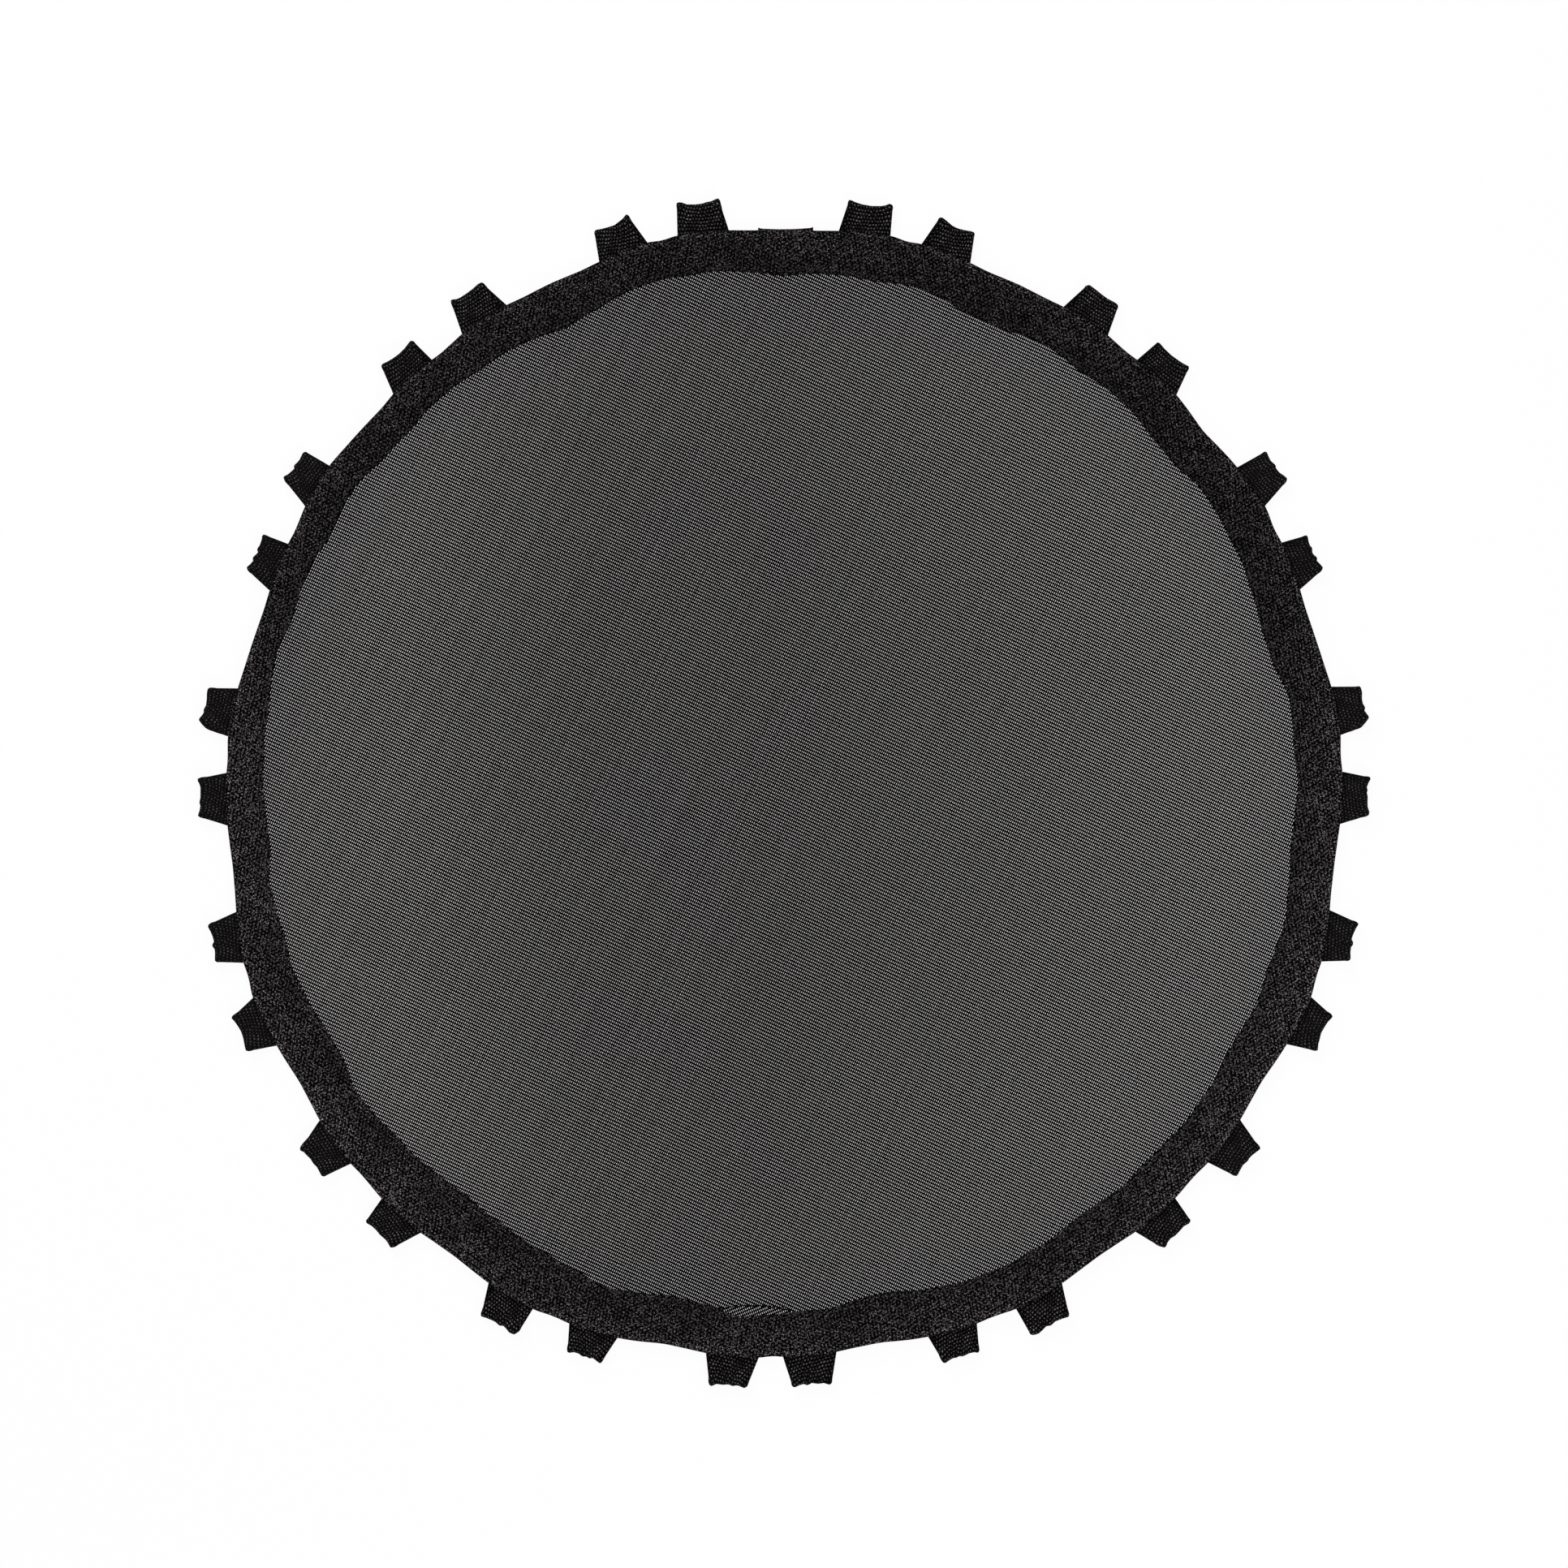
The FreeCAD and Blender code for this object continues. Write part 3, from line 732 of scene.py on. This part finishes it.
for quarter in cloth_quarters[2:]:
    trim(quarter, lambda spot: not in_hem(spot))
hem = run_tree("cloth_hem", cloth_tree, {
    **THREADS, "Direction": HEM_TURN, "Height": middle.z + HEM_RAISED, "Radius": HEM_HALF + 2 * MM,
    "Middle X": HEM_MIDDLE, "Middle Y": HEM_TOP, "Side X": 0.0, "Side Y": 0.0, "Wander": HEM_WANDER,
    "Seed": 11})
trim(hem, lambda spot: in_hem(spot, HEM_OVERLAP))
print("hem faces", len(hem.data.polygons))

# %% [markdown]
# ## Meshes from rows of points
# The border and the loops are both a cross-section carried along a line. One helper joins rows of points
# with faces, closes the rows into a ring where asked, and writes the `weave` map in millimetres.

# %% Helpers that skin rows of points
def both_sides(front, back):
    """Closed cross-sections: over the front, and back along the other side without its two ends."""
    return np.concatenate([front, back[:, -2:0:-1]], axis=1)


def skin(name, rows, weave, closed_along, material):
    """rows[i, j] is point j of cross-section i, and every cross-section is closed. weave goes with rows."""
    count, size = rows.shape[:2]
    vertices = rows.reshape(-1, 3)
    last = count if closed_along else count - 1
    faces, marks = [], []
    for i in range(last):
        k = (i + 1) % count
        for j in range(size):
            m = (j + 1) % size
            faces.append((i * size + j, k * size + j, k * size + m, i * size + m))
            marks.append(((i, j), (i + 1, j), (i + 1, m), (i, m)))
    if not closed_along:
        for i, order in ((0, 1), (count - 1, -1)):
            for j in range(size // 2):
                cap = (j, j + 1, (size - j - 1) % size, (size - j) % size)
                ring = list(dict.fromkeys(i * size + k for k in cap))
                if len(ring) > 2:
                    faces.append(tuple(ring[::order]))
                    marks.append(tuple((i, p % size) for p in ring[::order]))
    mesh = bpy.data.meshes.new(name)
    mesh.from_pydata(vertices.tolist(), [], faces)
    layer = mesh.uv_layers.new(name="weave")
    flat = np.array([weave[i, j] for face in marks for i, j in face], dtype=np.float32)
    layer.data.foreach_set("uv", flat.ravel())
    mesh.materials.append(material)
    mesh.polygons.foreach_set("use_smooth", np.ones(len(faces), dtype=bool))
    mesh.update()
    return put(name, mesh)


print("cloth made", len(cloth_quarters), "quarters and a turned edge")

# %% [markdown]
# ## The border
# Each ring is a flat band with turned edges. Two lines of stitches pull it down into shallow grooves, and
# between the stitches the webbing puckers a little, so the band is never quite flat.

# %% Helpers for closed lines
STATIONS = 900
SEAM_FROM_EDGE = 2.6 * MM
GROOVE_DEEP, GROOVE_HALF = 0.3 * MM, 0.8 * MM
PUCKER = 0.12 * MM
EDGE_ROUND = 0.7 * MM
turn = np.arange(STATIONS) * 2 * math.pi / STATIONS


def at_turns(line, turns):
    """Reads a closed line at other directions."""
    return np.interp(turns, directions, line, period=2 * math.pi)


def slow_noise(turns, seed, waves, shortest):
    """A closed random line: many gentle waves with random starts."""
    chance = np.random.default_rng(seed)
    total = np.zeros_like(turns)
    for w in chance.integers(3, shortest, waves):
        total += np.sin(w * turns + chance.uniform(0, 2 * math.pi)) / math.sqrt(waves)
    return total


print("stations round the border", STATIONS)


# %% The border's two rings
def band(name, outer, inner_edge, low, high, face_up, seed):
    """A ring of webbing: rounded edges, a flat back, and a front with seam grooves and puckers."""
    inside, outside = at_turns(inner_edge, turn), at_turns(outer, turn)
    width = outside - inside
    thick = high - low
    share = np.concatenate([[0.0, 0.012, 0.04], np.linspace(0.08, 0.92, 22), [0.96, 0.988, 1.0]])
    front = []
    for s in share:
        from_rim, from_inside = s * width, (1 - s) * width
        edge = np.minimum(from_rim, from_inside)
        fall = 1 - np.clip(1 - edge / EDGE_ROUND, 0, 1) ** 2 * 0.75
        groove = sum(GROOVE_DEEP * np.exp(-((away - SEAM_FROM_EDGE) / GROOVE_HALF) ** 2)
                     for away in (from_rim, from_inside))
        pucker = PUCKER * slow_noise(turn, seed, 40, 330) * np.exp(-edge / (7 * MM))
        swell = PUCKER * slow_noise(turn + 3 * s, seed + 5, 12, 60)
        front.append(thick * fall - groove + (pucker + swell) * np.clip(edge / (1.5 * MM), 0, 1))
    front[0] = front[-1] = np.full(STATIONS, thick * 0.3)
    front = np.array(front).T
    depth = np.outer(width, share)
    far = outside[:, None] - depth
    x, y = far * np.cos(turn)[:, None], far * np.sin(turn)[:, None]
    base, up = (low, 1) if face_up else (high, -1)
    rows = both_sides(*(np.stack([x, y, base + up * rise], 2) for rise in (front, 0 * front)))
    length = np.concatenate([[0], np.cumsum(outside * 2 * math.pi / STATIONS)]) / MM
    length = np.repeat(length[:, None], len(share), 1)
    weave = np.stack([length, np.concatenate([depth, depth[:1]]) / MM], 2)
    weave = both_sides(weave, weave)
    if face_up:
        rows, weave = rows[:, ::-1], weave[:, ::-1]
    return skin(name, rows, weave, True, border_webbing)


top_box, under_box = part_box("rim_band_top"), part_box("rim_band_under")
border_top = band("border_top", rim_top, inner_top, top_box[0].z, top_box[1].z, True, 11)
border_under = band("border_under", rim_under, inner_under, under_box[0].z, under_box[1].z, False, 23)
print("border faces", len(border_top.data.polygons), len(border_under.data.polygons))

# %% [markdown]
# ## The overlap
# Where the border's ends meet, a short piece of webbing lies under them and shows as a thin lip outside
# the rim. Its free edge is slightly hollow, and its two corners stand out.

# %% The overlap's patch
low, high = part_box("band_splice")
PATCH_ROWS, PATCH_POINTS = 36, 12
# Millimetres: how far short of the packed edge the free edge stops, how hollow it is, how much further one
# end reaches than the other, and how much its corners stand out.
SHORT, HOLLOW, ASKEW, CORNER_OUT = 2.0, 0.75, 0.2, 0.3
PATCH_ROUND = 0.6 * MM
steep_end = [0, 0.02, 0.034, 0.036]
share = np.concatenate([steep_end, np.linspace(0.06, 0.94, PATCH_ROWS - 8), [0.964, 0.966, 0.98, 1]])
across = np.linspace(0, 1, PATCH_POINTS)
from_middle = 2 * share - 1
short = SHORT - HOLLOW * from_middle ** 2 - ASKEW * from_middle - CORNER_OUT * (np.abs(from_middle) > 0.93)
x = np.repeat((low.x + share * (high.x - low.x))[:, None], PATCH_POINTS, 1)
y = low.y + np.outer(high.y - short * MM - low.y, across)
edge = np.minimum(across, 1 - across) * (high.y - low.y)
full = (high.z - low.z) * (1 - 0.6 * np.maximum(0.0, 1 - edge / PATCH_ROUND) ** 2)
full[[0, -1]] = (high.z - low.z) * 0.45
rows = both_sides(*(np.stack([x, y, 0 * x + low.z + rise], 2) for rise in (full, 0 * full)))
weave = np.stack([x - low.x, high.y - y], 2) / MM
overlap_patch = skin("overlap_patch", rows, both_sides(weave, weave), False, border_webbing)
print("overlap patch", len(overlap_patch.data.polygons), "faces")

# %% [markdown]
# ## The loops
# A loop is one strip of webbing: it starts under the border, runs out flat, folds back over itself and
# returns above its own start. The two runs lie slightly askew, so that one peeks out beside the other.
# The fold was pinched when it was sewn, and each one has its own dents, which are written as the line of
# the folded end: pairs of millimetres, sideways and outwards, from the counter-clockwise corner to the
# other.

# %% The line of every folded end
FOLDS = [
    [12.6, 16.5, 11.8, 17.7, 8.5, 16.6, 4, 15.7, -2, 15.4, -8, 16.1, -11, 17, -12.7, 18.1, -14.2, 17.8,
     -15, 16],
    [11.8, 16.5, 10.2, 17.8, 7, 16.8, 2.5, 15.1, -1.5, 14.7, -6.5, 15.3, -9, 15.8, -11.2, 16, -12.3, 15],
    [11.4, 16.5, 9.5, 18.3, 4, 17.7, 0, 17.2, -4.5, 16.9, -8, 17.3, -11, 17.3, -12.4, 15.8],
    [14.6, 14, 13, 14.7, 9, 14.3, 3, 14.4, -3.5, 15.5, -7, 16.4, -9.5, 17.4, -10.6, 16.3],
    [11.9, 18.5, 11, 19.8, 8, 19.1, 5, 18.7, 2.5, 19.3, 1.3, 19.6, -.3, 18.7, -4, 18.9, -7, 20.1,
     -9.5, 20.8, -11, 18.5],
    [13.6, 13.5, 12.8, 14.6, 9, 13.8, 6.5, 13.8, 5, 14.5, 2.5, 13.5, .5, 13.8, -1.7, 15.1, -3.3, 14.1,
     -6.5, 15.4, -8.7, 16.2, -10.4, 14],
    [11.9, 15.5, 11, 16.5, 8, 16.7, 4, 15.8, 1, 15.8, -1.7, 16.8, -3.4, 15.9, -6.5, 17.4, -8, 18.1,
     -10, 15.9, -12.5, 12.8, -13.5, 10.5],
    [13.6, 14.5, 12.8, 16.1, 10, 14.6, 7, 13.7, 5.2, 14.4, 4, 13.8, 1.5, 14.5, -2, 14.5, -5, 14.7,
     -8.2, 15.9, -9.7, 15.7, -10.7, 13.5],
    [12.2, 15, 11, 16.9, 8.5, 15.9, 4, 14.9, 1, 14.6, -.8, 16, -2, 16.2, -3.4, 15.3, -7, 15.6, -11, 16.6,
     -12.3, 15.3],
    [12.3, 16, 11.2, 17.9, 7, 16.5, 2.5, 16, -1, 15.8, -5, 16.7, -8, 17.2, -11.2, 18.6, -12.4, 16.8],
    [10.6, 17.5, 9.5, 19.4, 7, 18.6, 4, 17.7, 1, 17.2, -.7, 17.5, -5, 16.6, -9.5, 17.2, -12, 17.7,
     -13.3, 15.5],
    [14.6, 15.3, 13, 16.7, 9, 15.9, 4, 16.7, 1, 17, -2, 16.6, -5, 17.3, -8, 19, -9.5, 17, -11, 14.5],
    [11, 18, 9.8, 19.9, 6, 19, 1.2, 18.3, -2.2, 19.2, -5, 18.2, -8, 19.1, -11, 19.9, -13, 19.6, -14.8, 19,
     -16, 17.5],
    [13, 15.3, 12, 17, 10, 16, 6.5, 15.7, 2.5, 16.5, 0, 15.8, -2, 16.3, -3.7, 15.9, -7, 16.8, -9.7, 17.9,
     -11.2, 14.5],
    [11.8, 15.2, 10.4, 16.6, 7, 15.1, 3.5, 15.3, -.5, 14.4, -3.4, 15.5, -5.3, 14.5, -8, 14.9, -11.5, 16.1,
     -12.9, 14.6],
    [11.3, 15.5, 9.5, 17, 6, 15.9, 4.2, 15.9, 2.2, 16.5, -.5, 15.8, -4, 16.4, -8, 16.3, -11.2, 18.2,
     -12.7, 15.5],
    [10.5, 16.5, 9.4, 18, 5.5, 16.3, 4, 16, 2.5, 16.8, .5, 16.2, -2, 16.8, -4.5, 15.8, -8, 15.8, -11, 17.3,
     -12.3, 14.5],
    [14.9, 15, 14.3, 17, 13, 19.4, 10, 19.8, 8, 18.9, 5, 18, 2.5, 19.1, -.5, 18.4, -3.5, 18.6, -7, 19.1,
     -9.8, 19.8, -11, 17.5],
    [10.2, 16, 8.4, 18.2, 5.5, 17, 3, 16.4, -1.5, 16.4, -5, 15.7, -9, 15.5, -12.5, 16.2, -13.8, 15],
    [13.3, 15.4, 12, 16.6, 6, 15.8, 3, 16.4, -.5, 16.2, -4.5, 17, -6.5, 17.2, -8.4, 18.5, -9.5, 17.5,
     -10.8, 14],
    [12.3, 16, 11, 17.9, 7, 17, 4, 16.2, -.5, 15.7, -4, 16, -8, 16.7, -10.7, 17.7, -11.7, 15.8],
    [12.5, 14.8, 11.3, 15.9, 7, 14.9, 4.5, 14.6, 2, 15.8, 0, 14.1, -3.5, 14.3, -7, 15, -10.3, 16.1,
     -11.8, 13.6],
    [11, 14.8, 9.8, 16.3, 7, 15.2, 4, 14.6, 2, 15.2, -1, 14.5, -7.5, 14.3, -10, 15, -12.2, 16.3, -13.5, 13],
    [12.5, 9.5, 11.5, 12.8, 9.5, 15.7, 7.2, 18.1, 5, 16.7, 2.8, 15.7, .8, 16.1, -2, 15.1, -6.5, 15.4,
     -9.5, 15.9, -12.3, 15.9, -13.3, 13.5],
    [9.6, 14, 7.8, 16, 5.5, 14.7, 2.5, 13.7, .8, 14.7, -2, 13.3, -3.5, 12.8, -5, 14.1, -8, 13.4, -12, 13.6,
     -14.2, 14.3, -14.9, 12.5],
    [9.5, 17, 7.6, 19.8, 5.5, 18.4, 2.5, 17.6, -.3, 17, -1.8, 18.3, -4, 17.7, -6.5, 17.4, -11, 18.1,
     -12.8, 17],
    [9.8, 15.3, 8.4, 16.6, 5, 15.3, 1, 14.2, -3.5, 13.5, -8, 13.4, -11, 13.7, -14.3, 14.2, -15.3, 12],
    [11.8, 16, 10.6, 18, 8, 16.6, 5.5, 16.1, 1, 16.2, -4, 16.6, -8.3, 17.4, -10.8, 17.2, -11.6, 15],
    [11.8, 14.8, 10.5, 16.3, 7, 15.7, 3, 15.3, -1.5, 15.1, -5, 16.2, -8, 17.2, -10.5, 18.9, -11.7, 17],
    [13.6, 16.5, 12.9, 18.3, 10.5, 17.9, 7.5, 16.3, 2.5, 15.6, -2, 15.6, -5, 16.2, -8, 16.4, -10.5, 17.3,
     -12.4, 17.9, -13.3, 14]]
print("folded ends", len(FOLDS))

# %% The foot of every loop
# Millimetres sideways of the loop's two edges at the rim, clockwise side first, and how far the lower run
# peeks out beside the upper one. Where that is negative, it peeks out on the clockwise side.
FEET = [
    (-16.2, 15.9, 3.6), (-16, 15.9, 4), (-16.4, 15.9, 4), (-17.2, 15.5, 2.8), (-16.2, 13.7, 2),
    (-16, 14.9, 2.2), (-15.9, 14.7, 1.5), (-16.2, 15.9, 1.5), (-16.7, 15.4, 1.2), (-16.9, 16.7, 1.4),
    (-16.5, 16.4, 1.2), (-17, 15.7, 2), (-16.1, 16.9, -1.5), (-15, 16.5, -2), (-16, 16.3, -1.5),
    (-16, 16.2, -1.2), (-15.4, 16.2, -1.5), (-16.2, 16.1, -3), (-15.1, 17.2, -2), (-16, 16.5, -1.5),
    (-16.8, 16.8, -1.3), (-14.9, 16.6, -1.2), (-15.7, 16.6, -1.2), (-15.5, 14.8, -1.5), (-15, 15.7, -1.8),
    (-13.9, 15.4, -1.6), (-15.2, 16.7, -3.4), (-15.7, 16.1, -3.8), (-16.4, 15.2, -3), (-16, 15.8, -3)]
# Degrees by which the rows of the weave lean, as each strip was cut and folded.
LEANS = [4, 11, 4, 5, 7, 6, 7, 10, 10, 11, 4, 11, 11, 11, 13,
         -14, -11, -10, -11, -4, -11, -9, -10, -7, -10, -7, -4, -4, -11, -4]
print("feet", len(FEET), "leans", len(LEANS))

# %% Shape one loop
# All in millimetres: the webbing's thickness, the length sewn in under the border, the fold's radius, and
# how far a loop reaches out. On the side where the lower run doesn't peek out, the upper run is drawn in a
# little, and the lower one by as much as it peeks out on the other side, or by the most that is allowed.
WEB_THICK = 1.3
TAIL = 20.0
FOLD_RADIUS = 2.7
REACH = 15
UPPER_IN = 0.6
LOWER_IN_MOST = 4
# Further in than this the two edges of a run are parallel.
STRAIGHT_FROM = -3.5
COLUMNS = np.concatenate([[-1, -0.985, -0.955], np.linspace(-0.9, 0.9, 31), [0.955, 0.985, 1]])


def loop_strip(number):
    """Middle surface of the strip in its own frame, in millimetres: x outward, y sideways, z up."""
    fold = np.array(FOLDS[number], dtype=float).reshape(-1, 2)[::-1]
    clockwise, counter, peek = FEET[number]
    t = COLUMNS
    fold_y = fold[0, 0] + (t + 1) / 2 * (fold[-1, 0] - fold[0, 0])
    fold_x = np.interp(fold_y, fold[:, 0], fold[:, 1]) - WEB_THICK / 2
    chance = np.random.default_rng(100 + number)
    dent = fold_x - np.polyval(np.polyfit(t, fold_x, 2), t)
    radius = FOLD_RADIUS - 0.5 * np.abs(t) ** 3 + 0.2 * np.sin(3 * t + chance.uniform(0, 6))
    wrinkle = chance.uniform(-1, 1, 3)
    low_z, up_z = WEB_THICK / 2, WEB_THICK * 1.5
    if peek > 0:
        upper = (clockwise + UPPER_IN, counter - peek)
        lower = (clockwise + min(peek, LOWER_IN_MOST), counter)
    else:
        upper = (clockwise - peek, counter - UPPER_IN)
        lower = (clockwise, counter - min(-peek, LOWER_IN_MOST))
    upper_foot, lower_foot = (np.interp(t, (-1, 1), edges) for edges in (upper, lower))

    def run(s, foot):
        """x and y of the strip at one station of a run, which lies flat between its foot and the fold."""
        x = s if s < 0 else s * (fold_x - radius)
        y = foot + (fold_y - foot) * (max(s, STRAIGHT_FROM) / REACH if s < 0 else x / fold_x)
        return x * np.ones_like(t), y

    stations = np.concatenate([np.linspace(-TAIL, -1, 9), np.linspace(0, 1, 13)])
    lines = [(*run(s, lower_foot), np.full_like(t, low_z)) for s in stations]
    for a in np.linspace(0, math.pi, 11)[1:-1]:
        x = fold_x - radius + radius * math.sin(a)
        foot = lower_foot * (1 - a / math.pi) + upper_foot * a / math.pi
        lines.append((x, foot + (fold_y - foot) * x / fold_x, low_z + radius - radius * math.cos(a)))
    for s in stations[::-1]:
        out = max(s, 0.0)
        rise = out * out * (3 - 2 * out)
        crease = 0.9 * dent * out ** 2 + 0.22 * np.sin(9 * t + 6 * wrinkle[0]) * wrinkle[1] * out
        z = up_z + (low_z + 2 * radius - up_z) * rise + crease * np.clip((1 - np.abs(t)) * 6, 0, 1)
        lines.append((*run(s, upper_foot), z))
    return np.stack(lines).transpose(0, 2, 1)


def thicken(sheet):
    """Gives the strip its thickness, with rounded selvedges, as closed cross-sections."""
    normal = np.cross(np.gradient(sheet, axis=0), np.gradient(sheet, axis=1))
    normal /= np.linalg.norm(normal, axis=2, keepdims=True)
    near_edge = np.clip((np.abs(COLUMNS) - 0.94) / 0.06, 0, 1)
    half = ((WEB_THICK / 2) * np.sqrt(1 - near_edge ** 2))[None, :, None]
    return both_sides(sheet - normal * half, sheet + normal * half)


def loop_weave(sheet, lean):
    """Millimetres along the strip and across it, for the points of the closed cross-sections."""
    step = np.linalg.norm(np.diff(sheet[:, len(COLUMNS) // 2], axis=0), axis=1)
    along = np.concatenate([[0], np.cumsum(step)])
    along, across = np.meshgrid(along, COLUMNS * HALF_STRIP, indexing="ij")
    weave = np.stack([along - math.tan(math.radians(lean)) * across, across], 2)
    return both_sides(weave, weave)


print("points across a strip", len(COLUMNS))

# %% Make the thirty loops
loop_pieces = {}
for number in range(LOOPS):
    body = f"loop_{number + 1:02d}"
    hinge, outward = hinges[body]
    sideways = Vector((-outward.y, outward.x, 0))
    sheet = loop_strip(number)
    closed = thicken(sheet) * MM
    base = np.array([hinge.x, hinge.y, 0])
    placed = base + closed[..., :1] * np.array(outward) + closed[..., 1:2] * np.array(sideways)
    placed[..., 2] = closed[..., 2]
    piece = skin(f"webbing_{body}", placed, loop_weave(sheet, LEANS[number]), False, loop_webbing)
    loop_pieces[body] = piece
top = float(closed[..., 2].max()) / MM
print("loop faces", len(piece.data.polygons), "each, top at", round(top, 2), "mm")

# %% [markdown]
# ## Stitches
# A stitch is a short length of thread that dives into the cloth at both ends: a bead pulled long. Geometry
# Nodes place one bead at even steps along a closed line and turn it to follow the line, with a little
# chance in its size and turn. Four lines of stitches hold the border, two above and two below.

# %% A line of stitches
STITCH_SIZE = (0.8, 1.15)
STITCH_TURN = 0.14
STITCH_SUNK = 0.3 * MM


def stitch_tree():
    """Beads of thread at even steps along a closed line."""
    tree = new_tree("line of stitches", "Pitch", "Length", "Thickness", "Seed", "Line")
    n = Nodes(tree)
    given = n.add("NodeGroupInput").outputs
    path = n.add("GeometryNodeObjectInfo", given["Line"], transform_space="ORIGINAL").outputs["Geometry"]
    curve = n.add("GeometryNodeMeshToCurve", path)
    spots = n.add("GeometryNodeCurveToPoints", mode="LENGTH",
                  named={"Curve": curve, "Length": given["Pitch"]})
    bead = n.add("GeometryNodeMeshUVSphere", 6, 5, 0.5)
    size = n.chance(*STITCH_SIZE, given["Seed"])
    turn = n.chance(-STITCH_TURN, STITCH_TURN, n.plus(given["Seed"], 1.0))
    long, slim = n.times(given["Length"], size), n.times(given["Thickness"], size)
    along = n.add("FunctionNodeAlignRotationToVector", None, None, spots.outputs["Tangent"], axis="X")
    aslant = n.add("FunctionNodeRotateRotation", along, n.join(0.0, 0.0, turn), rotation_space="LOCAL")
    placed = n.add("GeometryNodeInstanceOnPoints", named={
        "Points": spots.outputs["Points"], "Instance": bead, "Rotation": aslant,
        "Scale": n.join(long, slim, slim)})
    close_tree(n, placed, sewing_thread)
    return tree


def closed_line(name, distance, height):
    """A closed line of edges round the mat, for stitches to follow."""
    far = at_turns(distance, turn)
    points = np.stack([far * np.cos(turn), far * np.sin(turn), np.full(STATIONS, height)], 1)
    mesh = bpy.data.meshes.new(name)
    mesh.from_pydata(points.tolist(), [(i, (i + 1) % STATIONS) for i in range(STATIONS)], [])
    return put(name, mesh)


stitches = stitch_tree()
print("nodes in a line of stitches", len(stitches.nodes))

# %% Sew the border
seams = {}
above, below = top_box[1].z - STITCH_SUNK, under_box[0].z + STITCH_SUNK
for name, distance, height, seed in (
        ("stitches_rim_top", rim_top - SEAM_FROM_EDGE, above, 3),
        ("stitches_inner_top", inner_top + SEAM_FROM_EDGE, above, 5),
        ("stitches_rim_under", rim_under - SEAM_FROM_EDGE, below, 8),
        ("stitches_inner_under", inner_under + SEAM_FROM_EDGE, below, 13)):
    guide = closed_line(name + "_guide", distance, height)
    seams[name] = run_tree(name, stitches, {
        "Pitch": 3.1 * MM, "Length": 2.3 * MM, "Thickness": 0.5 * MM, "Seed": seed, "Line": guide})
    bpy.data.objects.remove(guide)
    print(name, "faces", len(seams[name].data.polygons))

# %% [markdown]
# ## Fit the pieces to the model
# The border, the overlap, the stitches and the cloth ride on the mat's body. A loop's strip is sewn to the
# mat at one end and swings at the other; here each strip keeps the place it was made in, baked into its
# points. The packed soft solids are replaced.

# %% Rides and replacements
for piece, replaced in ((border_top, "rim_band_top"), (border_under, "rim_band_under"),
                        (overlap_patch, "band_splice")):
    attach(piece, "mat")
    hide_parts(replaced)
for piece in seams.values():
    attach(piece, "mat")
for quarter in cloth_quarters:
    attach(quarter, "mat")
    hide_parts("mesh_sheet")
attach(hem, "mat")
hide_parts("mesh_sheet")
for body, piece in loop_pieces.items():
    hinge, outward = hinges[body]
    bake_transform(piece)
    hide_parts(f"webbing_{body}", "loop_tails")

# %% Print the visual box
low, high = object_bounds()
print("visual box", tuple(low), tuple(high))
